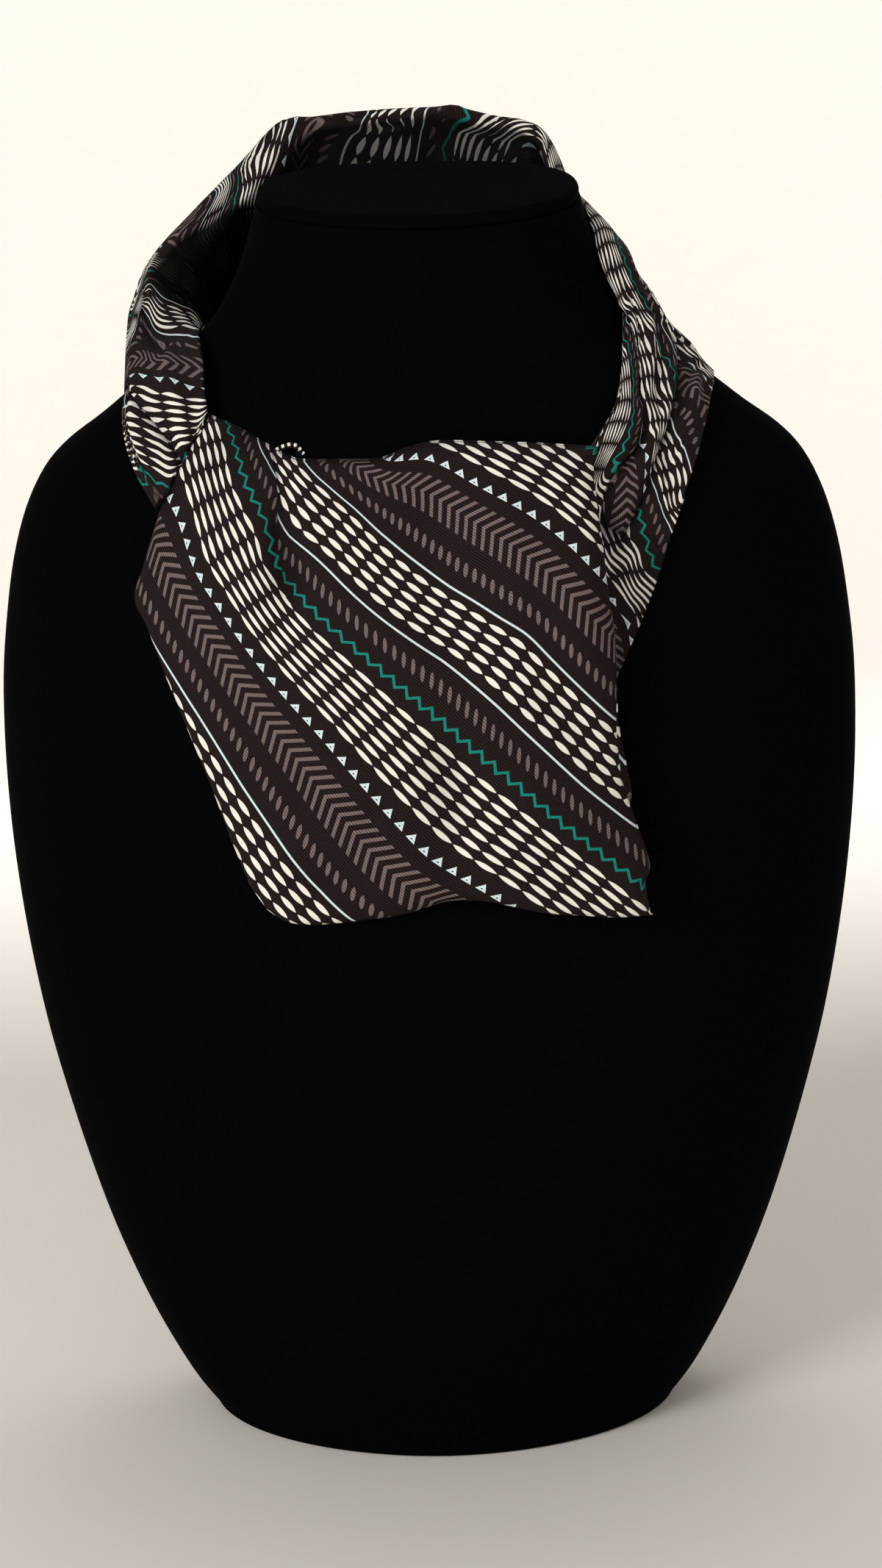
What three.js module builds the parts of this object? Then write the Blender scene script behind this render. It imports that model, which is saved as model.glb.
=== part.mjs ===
// A cravat worn on a limbless velvet display bust, in millimetres, +Z up.
// The cravat is one wide flat tube of printed twill, wound once round the neck. Its gathered end
// goes down behind, and its outer end is folded forward and hangs over it as a broad front panel.
// The model is drawn with X to the viewer's right and Y away from the viewer, then moved so that
// the origin is at the middle of the base.
import * as THREE from 'three';

// Driving sizes
const CLOTH = 1.5;                 // two layers of twill, pressed together
const PANEL_CLOTH = 2.4;           // the hanging panel, a little fuller
const BUST_CLEARANCE = 0.9;        // cloth to velvet
const BUST_SEGMENTS = 48;
const BASE_ROUNDING = 3;
const FRONT_ROUNDNESS = 2.0;       // superellipse powers of the bust's level sections
const BASE_ROUNDNESS = 1.9;        // the same for the front at the base, which is more pointed
const BASE_FADE = 130;             // the height at which the front has its own roundness
const BACK_ROUNDNESS = 2.5;
const NECK_TILT_START = 405;
const NECK_TILT_END = 506;
const NECK_TILT = 0.257;           // rise per millimetre towards the back, about 14 degrees
const CAP_THICKNESS = 5;
const CAP_ROUNDING = 1.6;

// The bust at each level: half its width, and how far it reaches to the front and to the back
const BUST_LEVELS = [
  { z: 0, half: 96, front: 63, back: 35 },
  { z: 3, half: 100, front: 66, back: 37.5 },
  { z: 10, half: 105.5, front: 68.3, back: 39.2 },
  { z: 20, half: 112, front: 71, back: 41 },
  { z: 40, half: 122.3, front: 77.5, back: 44.5 },
  { z: 60, half: 131, front: 83, back: 47 },
  { z: 85, half: 140.3, front: 88, back: 49.7 },
  { z: 110, half: 148, front: 92, back: 52 },
  { z: 140, half: 156, front: 95.5, back: 54.3 },
  { z: 170, half: 163, front: 98, back: 56 },
  { z: 200, half: 168.2, front: 100, back: 57.2 },
  { z: 230, half: 172, front: 101, back: 58 },
  { z: 260, half: 174.4, front: 101, back: 58.7 },
  { z: 290, half: 175.2, front: 99.5, back: 59 },
  { z: 320, half: 174.3, front: 96.5, back: 59 },
  { z: 345, half: 171.5, front: 92, back: 58.7 },
  { z: 368, half: 167.5, front: 86, back: 58 },
  { z: 388, half: 161.5, front: 79.5, back: 57 },
  { z: 404, half: 153.2, front: 73.5, back: 56 },
  { z: 415, half: 143, front: 69, back: 55 },
  { z: 425, half: 129, front: 65, back: 54.5 },
  { z: 435, half: 116, front: 61.5, back: 54 },
  { z: 445, half: 101, front: 59, back: 53 },
  { z: 455, half: 89, front: 57.5, back: 52.5 },
  { z: 466, half: 80, front: 57, back: 52 },
  { z: 480, half: 72.5, front: 56.5, back: 51.5 },
  { z: 494, half: 67.5, front: 56.5, back: 51 },
  { z: 505.5, half: 64.5, front: 57, back: 51 },
];
const CAP = { z: 505.8, half: 63.8, front: 56.6, back: 50.6 };

// The wound band, station by station from the fold on the left of the neck, round the back, to
// where the gathered end goes down the chest. Each row gives the inner foot beside the neck, the
// lip where the inner face turns down, the rim at the top, and the hem of the outer face.
const WOUND_BAND = [
  { foot: [-81.5, -58.5, 425.5], lip: [-90, -66, 411], rim: [-98.5, -72, 395], hem: [-102, -68, 391] },
  { foot: [-82.5, -56.5, 430], lip: [-94, -60, 423], rim: [-106.5, -65, 408], hem: [-110, -58, 404] },
  { foot: [-83.5, -51, 437], lip: [-97, -54, 433], rim: [-111.8, -54, 420], hem: [-114.8, -46, 415] },
  { foot: [-84.5, -42, 445], lip: [-99, -44, 441], rim: [-113.8, -42, 431], hem: [-117, -34, 425] },
  { foot: [-86.5, -31, 452], lip: [-101, -33, 446.5], rim: [-113.6, -31, 443.5], hem: [-117, -22, 431] },
  { foot: [-88, -19, 456], lip: [-103, -21, 450], rim: [-113.6, -18, 455], hem: [-117, -10, 435] },
  { foot: [-89, -4, 457], lip: [-105, -6, 458], rim: [-112.4, 0, 470], hem: [-117, 4, 437.5] },
  { foot: [-88, 10, 458], lip: [-97.5, 6, 478], rim: [-106, 12, 487], hem: [-116.5, 18, 439] },
  { foot: [-81, 25, 462], lip: [-83.5, 18, 493], rim: [-90.5, 26, 505], hem: [-109, 34, 441] },
  { foot: [-68, 41, 470], lip: [-68, 32, 510], rim: [-73.5, 40, 523], hem: [-95, 53, 444] },
  { foot: [-55, 53.5, 478], lip: [-54.5, 45, 528], rim: [-56.5, 51.5, 541], hem: [-78, 67, 446] },
  { foot: [-44, 57.5, 482], lip: [-44, 54, 532], rim: [-43, 58, 543], hem: [-60, 75, 447] },
  { foot: [-24, 60.5, 485], lip: [-24, 58, 535.5], rim: [-24, 63, 545.3], hem: [-32, 82, 448] },
  { foot: [-2, 61.5, 486], lip: [-2, 59, 536.5], rim: [-2, 65, 546.3], hem: [-4, 85, 449] },
  { foot: [16, 61, 486], lip: [16, 58, 536], rim: [16, 64.5, 546], hem: [22, 84, 448.5] },
  { foot: [33, 59.5, 484], lip: [33, 56, 532], rim: [33, 61, 542], hem: [47, 79, 447] },
  { foot: [45, 56.5, 481], lip: [44.5, 52, 529], rim: [45, 56, 539.5], hem: [62, 72, 446] },
  { foot: [54, 51, 480], lip: [51, 44, 524], rim: [53, 47, 533.5], hem: [76, 63, 445] },
  { foot: [62, 42, 478], lip: [55, 35, 512], rim: [57.5, 38, 518.5], hem: [88, 50, 443.5] },
  { foot: [67, 30, 478], lip: [58.5, 24, 506], rim: [61.5, 26, 510.5], hem: [98, 35, 442] },
  { foot: [71, 16, 479], lip: [62.8, 13, 501], rim: [66.5, 14, 504], hem: [105, 21, 441] },
  { foot: [73.5, 5, 478], lip: [68.5, -2, 492.5], rim: [72, 0, 495.5], hem: [111, 8, 439.8] },
  { foot: [75.5, -4, 474], lip: [69.8, -14, 483.5], rim: [73.5, -14, 486.5], hem: [114, -4, 438.3] },
  { foot: [77.5, -10, 469], lip: [73, -19, 474], rim: [76.5, -19.5, 477], hem: [115.5, -12, 437] },
  { foot: [80.5, -14, 464], lip: [77, -21.5, 465], rim: [80, -22.5, 468], hem: [115.3, -19, 435.5] },
  { foot: [82, -22, 456.5], lip: [78, -29.5, 456], rim: [81, -31, 458.5], hem: [114.3, -26, 432.6] },
  { foot: [81.5, -35, 445], lip: [77.2, -42, 442], rim: [80, -43.5, 444], hem: [112.3, -34.5, 428.5] },
  { foot: [79, -46, 434.5], lip: [75.2, -50.5, 431.3], rim: [78, -52.5, 433], hem: [110, -43, 422.5] },
  { foot: [74, -56, 425], lip: [72.2, -58, 423.2], rim: [75.5, -60, 424.5], hem: [107.5, -50.5, 415.5] },
  { foot: [65, -65, 412.5], lip: [64.8, -67.5, 412.4], rim: [69, -69.5, 413], hem: [103.8, -59, 405.5] },
  { foot: [54, -73, 397], lip: [55, -75.5, 397], rim: [60, -77, 397.3], hem: [98.8, -65.5, 392.8] },
  { foot: [46.5, -80.5, 378], lip: [47.5, -83, 378], rim: [53, -84.3, 378.3], hem: [93, -72, 377] },
  { foot: [39.5, -88.5, 354], lip: [41, -91, 354], rim: [46.5, -92, 354], hem: [84, -81, 354] },
  { foot: [34, -95.5, 325], lip: [35.5, -98, 325], rim: [41, -98.7, 325], hem: [70.5, -92, 325.5] },
];
// The stations at which the band's left and back stretches end
const BAND_SEAMS = { left: 10.5, back: 16.5 };
const SEAM_STEP = 0.084;           // of the way to the next station, which leaves 0.3 mm or more
const NEAR_STATION = 0.3;          // how far along the band its slope is taken
// The outer face stands out behind the neck, half way between rim and hem, from station to station
const BACK_BULGE = { most: 5, starts: 9, full: 12, fades: 16, ends: 19 };

// The rim is rolled: the face turns over this far out before it goes down
const RIM_ROLL = { out: 2.9, share: 0.14, fullDrop: 30 };
// Steps of the wall between a section's keys: foot, lip, rim, turn, belly, hem
const SPAN_STEPS = [4, 5, 3, 12, 12];

// Gathers and folds of the band: where they lie across it (0 foot, 1 lip, 2 rim, 3 turn, 4 belly,
// 5 hem), how wide and deep they are, and the stations between which they run
const BAND_FOLDS = {
  left: [
    { at: 1.4, width: 0.3, depth: -2, from: 0.5, to: 5 },
    { at: 0.8, width: 0.28, depth: 1.5, from: 1, to: 4.5 },
    { at: 4, width: 0.4, depth: -1.8, from: 3, to: 10 },
  ],
  back: [
    { at: 0.6, width: 0.25, depth: 1.8, from: 10.5, to: 14.2 },
    { at: 1.2, width: 0.22, depth: -1.8, from: 11.4, to: 16 },
    { at: 3.5, width: 0.25, depth: 2.8, from: 10.5, to: 16.5 },
    { at: 4.3, width: 0.22, depth: -2.4, from: 11, to: 16 },
  ],
  right: [
    { at: 3.1, width: 0.11, depth: -1.4, from: 20, to: 30 },
    { at: 3.35, width: 0.13, depth: 1.8, from: 18, to: 31.5 },
    { at: 3.63, width: 0.12, depth: -2.4, from: 18.5, to: 31 },
    { at: 3.92, width: 0.14, depth: 2, from: 19, to: 32 },
    { at: 4.2, width: 0.12, depth: -2.4, from: 19.5, to: 31 },
    { at: 4.48, width: 0.13, depth: 1.8, from: 20, to: 32 },
    { at: 4.75, width: 0.11, depth: -1.8, from: 20.5, to: 31 },
  ],
};

// The front panel's four edges, across (x) and up (z), each from left to right or top to bottom
const PANEL_TOP = [
  { x: -81, z: 424.5 }, { x: -69, z: 419.5 }, { x: -57.5, z: 413 }, { x: -47, z: 408.2 },
  { x: -31.5, z: 407.6 }, { x: -16.4, z: 407.8 }, { x: -6, z: 411.5 }, { x: 6, z: 413.6 },
  { x: 28.5, z: 413 }, { x: 51, z: 411.5 }, { x: 65.5, z: 410 },
];
const PANEL_LEFT = [
  { x: -81, z: 424.5 }, { x: -88.5, z: 413 }, { x: -95, z: 401 }, { x: -99.5, z: 391.5 },
  { x: -103.8, z: 379 }, { x: -107.5, z: 368 }, { x: -110.8, z: 357.5 }, { x: -105.8, z: 347 },
  { x: -100.5, z: 333 }, { x: -93.2, z: 315 }, { x: -88.4, z: 303 }, { x: -82.4, z: 288 },
  { x: -76, z: 269.6 }, { x: -69, z: 251.8 }, { x: -62, z: 241.5 },
];
const PANEL_RIGHT = [
  { x: 65.5, z: 410 }, { x: 63.5, z: 402 }, { x: 64.3, z: 390.5 }, { x: 66, z: 374 },
  { x: 67.6, z: 357.6 }, { x: 69.6, z: 342 }, { x: 69.8, z: 326 }, { x: 69.4, z: 309 },
  { x: 70.2, z: 298 }, { x: 71.5, z: 287.5 }, { x: 76, z: 274 }, { x: 81.6, z: 256.5 },
  { x: 79.8, z: 249.4 }, { x: 81.8, z: 236.6 },
];
const PANEL_BOTTOM = [
  { x: -62, z: 241.5 }, { x: -54.5, z: 237 }, { x: -43.5, z: 236.2 }, { x: -24.8, z: 238.3 },
  { x: -13, z: 239.8 }, { x: -1.5, z: 243 }, { x: 6.2, z: 245 }, { x: 21.6, z: 245.2 },
  { x: 41, z: 240.8 }, { x: 57, z: 238.5 }, { x: 69, z: 237 }, { x: 81.8, z: 236.6 },
];
const PANEL_REST = 1.2;            // the panel's back to the chest, where nothing is under it
const PANEL_OVER_END = 8.6;        // the same where the gathered end lies under it
const PANEL_STEP = { from: 0, to: 36 };   // across, where it climbs on to the gathered end
const PANEL_WIDTH = 150;
const PANEL_LENGTH = 175;
const PANEL_FULLNESS = 7;          // how far the panel's face stands out from its back
const PANEL_ROLL = 9;              // how far in from the edge the face rolls back
const PANEL_EDGE_EASE = 0.08;      // how much closer its steps are near the edges
// Soft troughs (negative) and swells of the panel's face, between two points across and up
const PANEL_FOLDS = [
  { x: -66, z: 417, x2: -51, z2: 366, width: 7, height: -4.5 },
  { x: -84, z: 402, x2: -66, z2: 352, width: 9, height: 3 },
  { x: -45, z: 392, x2: 4, z2: 330, width: 16, height: 2.2 },
  { x: 52, z: 398, x2: 58, z2: 335, width: 9, height: 1.8 },
  { x: -52, z: 262, x2: 18, z2: 262, width: 12, height: 2.2 },
  { x: 5, z: 300, x2: 8, z2: 250, width: 8, height: -2.2 },
  { x: 40, z: 285, x2: 76, z2: 248, width: 9, height: 2 },
];

// The gathered end below the band, hidden by the panel but for its right edge
const UNDER_END = [
  { z: 323.6, left: 33, right: 70 },
  { z: 308, left: 27, right: 70.5 },
  { z: 294, left: 21, right: 73 },
  { z: 281, left: 17, right: 75 },
  { z: 272, left: 18, right: 72.5 },
];
const UNDER_REST = 1.4;            // its back to the chest
const UNDER_SWELL = 2;             // the height of its gathers
const UNDER_GATHERS = 3;
const UNDER_FLATTENS = 0.4;        // the share of their height that the gathers lose by its foot

// The curl of the inner layer that shows above the panel's edge
const CURL = { from: [-56, 414.9], middle: [-50.5, 417.2], to: [-45, 412.3] };
const CURL_STAND = 3;              // its middle to the chest
const CURL_RADIUS = 1.9;
const CURL_SIDES = 10;
const CURL_STEPS = 12;

// A value between two table rows, on a smooth curve through the rows
function smoothBetween(before, start, end, after, t) {
  const t2 = t * t;
  const t3 = t2 * t;
  return 0.5 * (2 * start + (end - before) * t + (2 * before - 5 * start + 4 * end - after) * t2
    + (3 * start - before - 3 * end + after) * t3);
}

function smoothRow(rows, at, pick) {
  const last = rows.length - 1;
  const i = Math.min(Math.max(Math.floor(at), 0), last - 1);
  const t = at - i;
  return smoothBetween(pick(rows[Math.max(i - 1, 0)]), pick(rows[i]), pick(rows[i + 1]),
    pick(rows[Math.min(i + 2, last)]), t);
}

function levelAt(z, column) {
  const rows = BUST_LEVELS;
  if (z <= rows[0].z) return rows[0][column];
  for (let i = 1; i < rows.length; i += 1) {
    if (z <= rows[i].z) {
      const t = (z - rows[i - 1].z) / (rows[i].z - rows[i - 1].z);
      return rows[i - 1][column] + (rows[i][column] - rows[i - 1][column]) * t;
    }
  }
  return rows[rows.length - 1][column];
}

function tiltAt(z) {
  return NECK_TILT * THREE.MathUtils.clamp((z - NECK_TILT_START) / (NECK_TILT_END - NECK_TILT_START), 0, 1);
}

function frontPower(z) {
  return BASE_ROUNDNESS + (FRONT_ROUNDNESS - BASE_ROUNDNESS) * Math.min(z / BASE_FADE, 1);
}

// The bust's own level at a point, as its levels lean with the neck
function levelOf(y, z) {
  let level = z;
  for (let turn = 0; turn < 12; turn += 1) level = z - tiltAt(level) * y;
  return level;
}

// The velvet's front surface above a point of the chest, as a Y
function chestY(x, z) {
  let y = 0;
  for (let turn = 0; turn < 8; turn += 1) {
    const level = levelOf(y, z);
    const share = Math.min(Math.abs(x) / levelAt(level, 'half'), 0.999);
    y = -levelAt(level, 'front') * (1 - share ** FRONT_ROUNDNESS) ** (1 / FRONT_ROUNDNESS);
  }
  return y;
}

// How far out a point is in the bust's section: 1 on the velvet, more outside it
function bustShare(x, y, z) {
  const level = levelOf(y, z);
  const power = y < 0 ? FRONT_ROUNDNESS : BACK_ROUNDNESS;
  const reach = levelAt(level, y < 0 ? 'front' : 'back');
  return ((Math.abs(x) / levelAt(level, 'half')) ** power + (Math.abs(y) / reach) ** power) ** (1 / power);
}

// Moves a point straight out of the velvet until it is at least the gap away from it
function clearOfBust(point, gap) {
  const step = 0.05;
  for (let turn = 0; turn < 5; turn += 1) {
    const { x, y, z } = point;
    if (levelOf(y, z) > CAP.z + CAP_THICKNESS) return point;
    const here = bustShare(x, y, z);
    const slope = new THREE.Vector3(
      bustShare(x + step, y, z) - bustShare(x - step, y, z),
      bustShare(x, y + step, z) - bustShare(x, y - step, z),
      bustShare(x, y, z + step) - bustShare(x, y, z - step)).divideScalar(2 * step);
    const away = (here - 1) / slope.length();
    if (away >= gap) return point;
    point.addScaledVector(slope.normalize(), gap - away);
  }
  return point;
}

function solidOf(points, triangles) {
  const geometry = new THREE.BufferGeometry();
  const places = points.flatMap((p) => [p.x, p.y, p.z]);
  geometry.setAttribute('position', new THREE.Float32BufferAttribute(places, 3));
  let volume = 0;
  for (let i = 0; i < triangles.length; i += 3) {
    const [a, b, c] = [points[triangles[i]], points[triangles[i + 1]], points[triangles[i + 2]]];
    volume += a.dot(new THREE.Vector3().crossVectors(b, c));
  }
  if (volume < 0) triangles.reverse();
  geometry.setIndex(triangles);
  geometry.computeVertexNormals();
  return geometry;
}

// A closed solid through level rings of the same number of points, capped at both ends
function ringSolid(rings) {
  const count = rings[0].length;
  const points = rings.flat();
  const triangles = [];
  for (let r = 0; r < rings.length - 1; r += 1) {
    for (let i = 0; i < count; i += 1) {
      const j = (i + 1) % count;
      const [a, b, c, d] = [r * count + i, r * count + j, (r + 1) * count + j, (r + 1) * count + i];
      triangles.push(a, b, c, a, c, d);
    }
  }
  for (const [start, turned] of [[0, true], [(rings.length - 1) * count, false]]) {
    const middle = points.length;
    const centre = new THREE.Vector3();
    for (let i = 0; i < count; i += 1) centre.add(points[start + i]);
    points.push(centre.divideScalar(count));
    for (let i = 0; i < count; i += 1) {
      const j = (i + 1) % count;
      if (turned) triangles.push(middle, start + j, start + i);
      else triangles.push(middle, start + i, start + j);
    }
  }
  return solidOf(points, triangles);
}

// The way out of each point of a grid, from its neighbours
function gridNormals(face) {
  const [rows, columns] = [face.length, face[0].length];
  return face.map((row, i) => row.map((point, j) => {
    const along = face[Math.min(i + 1, rows - 1)][j].clone().sub(face[Math.max(i - 1, 0)][j]);
    const across = row[Math.min(j + 1, columns - 1)].clone().sub(row[Math.max(j - 1, 0)]);
    return new THREE.Vector3().crossVectors(along, across).normalize();
  }));
}

// A closed wall: a grid of points on its face, and the same points moved in by its thickness
function wallSolid(face, thickness, normals = gridNormals(face)) {
  const rows = face.length;
  const columns = face[0].length;
  const inner = face.map((row, i) => row.map(
    (point, j) => point.clone().addScaledVector(normals[i][j], -thickness)));
  const points = [...face.flat(), ...inner.flat()];
  const half = rows * columns;
  const at = (i, j, side) => side * half + i * columns + j;
  const triangles = [];
  for (let i = 0; i < rows - 1; i += 1) {
    for (let j = 0; j < columns - 1; j += 1) {
      const [a, b, c, d] = [at(i, j, 0), at(i + 1, j, 0), at(i + 1, j + 1, 0), at(i, j + 1, 0)];
      triangles.push(a, b, c, a, c, d);
      const [e, f, g, h] = [at(i, j, 1), at(i + 1, j, 1), at(i + 1, j + 1, 1), at(i, j + 1, 1)];
      triangles.push(e, g, f, e, h, g);
    }
  }
  const rim = [];
  for (let j = 0; j < columns - 1; j += 1) rim.push([0, j]);
  for (let i = 0; i < rows - 1; i += 1) rim.push([i, columns - 1]);
  for (let j = columns - 1; j > 0; j -= 1) rim.push([rows - 1, j]);
  for (let i = rows - 1; i > 0; i -= 1) rim.push([i, 0]);
  rim.forEach(([i, j], k) => {
    const [p, q] = rim[(k + 1) % rim.length];
    triangles.push(at(i, j, 0), at(p, q, 0), at(p, q, 1), at(i, j, 0), at(p, q, 1), at(i, j, 1));
  });
  return solidOf(points, triangles);
}

function sectionRing(row) {
  const ring = [];
  for (let i = 0; i < BUST_SEGMENTS; i += 1) {
    const angle = (i / BUST_SEGMENTS) * 2 * Math.PI;
    const [c, s] = [Math.cos(angle), Math.sin(angle)];
    const power = 2 / (s < 0 ? frontPower(row.z) : BACK_ROUNDNESS);
    const x = row.half * Math.sign(c) * Math.abs(c) ** power;
    const y = (s < 0 ? row.front : row.back) * Math.sign(s) * Math.abs(s) ** power;
    ring.push(new THREE.Vector3(x, y, row.z + tiltAt(row.z) * y));
  }
  return ring;
}

function displayBust() {
  const rows = BUST_LEVELS.map((row) => ({ ...row }));
  rows[1].z = BASE_ROUNDING;
  return ringSolid(rows.map(sectionRing));
}

// The velvet-covered disc that closes the neck
function neckCap() {
  const rise = [0, CAP_ROUNDING, CAP_THICKNESS - CAP_ROUNDING, CAP_THICKNESS];
  const draw = [CAP_ROUNDING * 0.5, 0, 0, CAP_ROUNDING];
  return ringSolid(rise.map((up, i) => sectionRing({
    z: CAP.z + up, half: CAP.half - draw[i], front: CAP.front - draw[i], back: CAP.back - draw[i],
  })));
}

// One station's section of the band, a smooth curve from the inner foot over the rim to the hem
function bandSection(station) {
  const key = (name) => new THREE.Vector3(
    ...[0, 1, 2].map((k) => smoothRow(WOUND_BAND, station, (row) => row[name][k])));
  const [foot, lip, rim, hem] = ['foot', 'lip', 'rim', 'hem'].map(key);
  const { smoothstep } = THREE.MathUtils;
  const bulge = BACK_BULGE.most * smoothstep(station, BACK_BULGE.starts, BACK_BULGE.full)
    * (1 - smoothstep(station, BACK_BULGE.fades, BACK_BULGE.ends));
  const belly = rim.clone().add(hem).multiplyScalar(0.5);
  const away = new THREE.Vector3(belly.x, belly.y, 0).normalize();
  belly.addScaledVector(away, bulge);
  const roll = RIM_ROLL.out * Math.min(1, rim.distanceTo(hem) / RIM_ROLL.fullDrop);
  const turn = rim.clone().lerp(belly, RIM_ROLL.share).addScaledVector(away, roll);
  return new THREE.CatmullRomCurve3([foot, lip, rim, turn, belly, hem], false, 'centripetal');
}

function foldHeight(folds, station, at) {
  let height = 0;
  for (const fold of folds) {
    if (station <= fold.from || station >= fold.to) continue;
    const run = Math.sin(Math.PI * (station - fold.from) / (fold.to - fold.from));
    height += fold.depth * Math.sqrt(run) * Math.exp(-(((at - fold.at) / fold.width) ** 2));
  }
  return height;
}

// The way out of each point of a section, from the sections before and after it
function rowNormals(before, row, after) {
  const last = row.length - 1;
  return row.map((point, j) => {
    const along = after[j].clone().sub(before[j]);
    const across = row[Math.min(j + 1, last)].clone().sub(row[Math.max(j - 1, 0)]);
    return new THREE.Vector3().crossVectors(along, across).normalize();
  });
}

function bareRow(station, spans) {
  const section = bandSection(station);
  return spans.map((at) => section.getPoint(at / SPAN_STEPS.length));
}

function foldedRow(part, station, spans) {
  const row = bareRow(station, spans);
  const normals = rowNormals(
    bareRow(station - NEAR_STATION, spans), row, bareRow(station + NEAR_STATION, spans));
  return row.map((point, j) => {
    point.addScaledVector(normals[j], foldHeight(BAND_FOLDS[part], station, spans[j]));
    const outer = THREE.MathUtils.smoothstep(spans[j], 1.2, 2.2);
    return clearOfBust(point, BUST_CLEARANCE + CLOTH * outer);
  });
}

// A stretch of the band as a wall, between two stations
function bandPiece(part, start, end, steps) {
  const spans = SPAN_STEPS.flatMap((count, k) => Array.from({ length: count }, (_, i) => k + i / count));
  spans.push(SPAN_STEPS.length);
  const face = [];
  const normals = [];
  for (let i = 0; i <= steps; i += 1) {
    const station = start + (end - start) * (i / steps);
    face.push(foldedRow(part, station, spans));
    normals.push(rowNormals(
      foldedRow(part, station - NEAR_STATION, spans), face[i], foldedRow(part, station + NEAR_STATION, spans)));
  }
  return wallSolid(face, CLOTH, normals);
}

function smoothEdge(rows, share) {
  const at = share * (rows.length - 1);
  return { x: smoothRow(rows, at, (row) => row.x), z: smoothRow(rows, at, (row) => row.z) };
}

// The panel's flat place at u across and v down, blended from its four edges
function panelPlace(u, v) {
  const [top, bottom] = [smoothEdge(PANEL_TOP, u), smoothEdge(PANEL_BOTTOM, u)];
  const [left, right] = [smoothEdge(PANEL_LEFT, v), smoothEdge(PANEL_RIGHT, v)];
  const corner = (rows, end) => rows[end ? rows.length - 1 : 0];
  const [a, b] = [corner(PANEL_TOP, 0), corner(PANEL_TOP, 1)];
  const [c, d] = [corner(PANEL_BOTTOM, 0), corner(PANEL_BOTTOM, 1)];
  const blend = (k) => (1 - v) * top[k] + v * bottom[k] + (1 - u) * left[k] + u * right[k]
    - ((1 - u) * (1 - v) * a[k] + u * (1 - v) * b[k] + (1 - u) * v * c[k] + u * v * d[k]);
  return { x: blend('x'), z: blend('z') };
}

function panelSwell(x, z) {
  let height = 0;
  for (const fold of PANEL_FOLDS) {
    const [dx, dz] = [fold.x2 - fold.x, fold.z2 - fold.z];
    const along = THREE.MathUtils.clamp(((x - fold.x) * dx + (z - fold.z) * dz) / (dx * dx + dz * dz), 0, 1);
    const away = Math.hypot(x - fold.x - along * dx, z - fold.z - along * dz);
    height += fold.height * Math.exp(-((away / fold.width) ** 2));
  }
  return height;
}

// A share of the way across or down the panel, in steps that are closer near its edges
function easedShare(share) {
  const turn = Math.PI * (PANEL_EDGE_EASE + (1 - 2 * PANEL_EDGE_EASE) * share);
  return 0.5 - 0.5 * Math.cos(turn) / Math.cos(Math.PI * PANEL_EDGE_EASE);
}

function frontPanel(acrossSteps, downSteps) {
  const face = [];
  for (let i = 0; i <= downSteps; i += 1) {
    const row = [];
    const v = easedShare(i / downSteps);
    for (let j = 0; j <= acrossSteps; j += 1) {
      const u = easedShare(j / acrossSteps);
      const { x, z } = panelPlace(u, v);
      const edge = Math.min(u * PANEL_WIDTH, (1 - u) * PANEL_WIDTH, v * PANEL_LENGTH, (1 - v) * PANEL_LENGTH);
      const inward = Math.min(Math.max(edge, 0) / PANEL_ROLL, 1);
      const roll = Math.sqrt(1 - (1 - inward) ** 2);
      const climb = THREE.MathUtils.smoothstep(x, PANEL_STEP.from, PANEL_STEP.to);
      const rest = PANEL_REST + (PANEL_OVER_END - PANEL_REST) * climb + PANEL_CLOTH;
      const stand = rest + roll * (PANEL_FULLNESS + panelSwell(x, z));
      row.push(new THREE.Vector3(x, chestY(x, z) - stand, z));
    }
    face.push(row);
  }
  return wallSolid(face, PANEL_CLOTH);
}

function underEnd(acrossSteps, downSteps) {
  const face = [];
  for (let i = 0; i <= downSteps; i += 1) {
    const at = (i / downSteps) * (UNDER_END.length - 1);
    const left = smoothRow(UNDER_END, at, (r) => r.left);
    const right = smoothRow(UNDER_END, at, (r) => r.right);
    const z = smoothRow(UNDER_END, at, (r) => r.z);
    const row = [];
    for (let j = 0; j <= acrossSteps; j += 1) {
      const share = j / acrossSteps;
      const x = left + (right - left) * share;
      const gather = 0.5 - 0.5 * Math.cos(share * 2 * Math.PI * UNDER_GATHERS);
      const wave = UNDER_SWELL * gather * Math.sin(Math.PI * share) * (1 - UNDER_FLATTENS * (i / downSteps));
      row.push(new THREE.Vector3(x, chestY(x, z) - UNDER_REST - CLOTH - wave, z));
    }
    face.push(row);
  }
  return wallSolid(face, CLOTH);
}

function curl() {
  const place = ([x, z]) => new THREE.Vector3(x, chestY(x, z) - CURL_STAND, z);
  const path = new THREE.CatmullRomCurve3([place(CURL.from), place(CURL.middle), place(CURL.to)]);
  const rings = [];
  for (let i = 0; i <= CURL_STEPS; i += 1) {
    const centre = path.getPoint(i / CURL_STEPS);
    const ahead = path.getTangent(i / CURL_STEPS);
    const side = new THREE.Vector3(0, 1, 0);
    const over = new THREE.Vector3().crossVectors(ahead, side).normalize();
    const ring = [];
    for (let k = 0; k < CURL_SIDES; k += 1) {
      const angle = (k / CURL_SIDES) * 2 * Math.PI;
      ring.push(centre.clone().addScaledVector(side, CURL_RADIUS * Math.cos(angle))
        .addScaledVector(over, CURL_RADIUS * Math.sin(angle)));
    }
    rings.push(ring);
  }
  return ringSolid(rings);
}

const twill = new THREE.MeshStandardMaterial({ color: 0x2b2324, roughness: 0.72, metalness: 0 });
const velvet = new THREE.MeshStandardMaterial({ color: 0x060608, roughness: 0.95, metalness: 0 });

const cravat = new THREE.Group();
const add = (name, geometry, material) => {
  const mesh = new THREE.Mesh(geometry, material);
  mesh.name = name;
  cravat.add(mesh);
};

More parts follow.
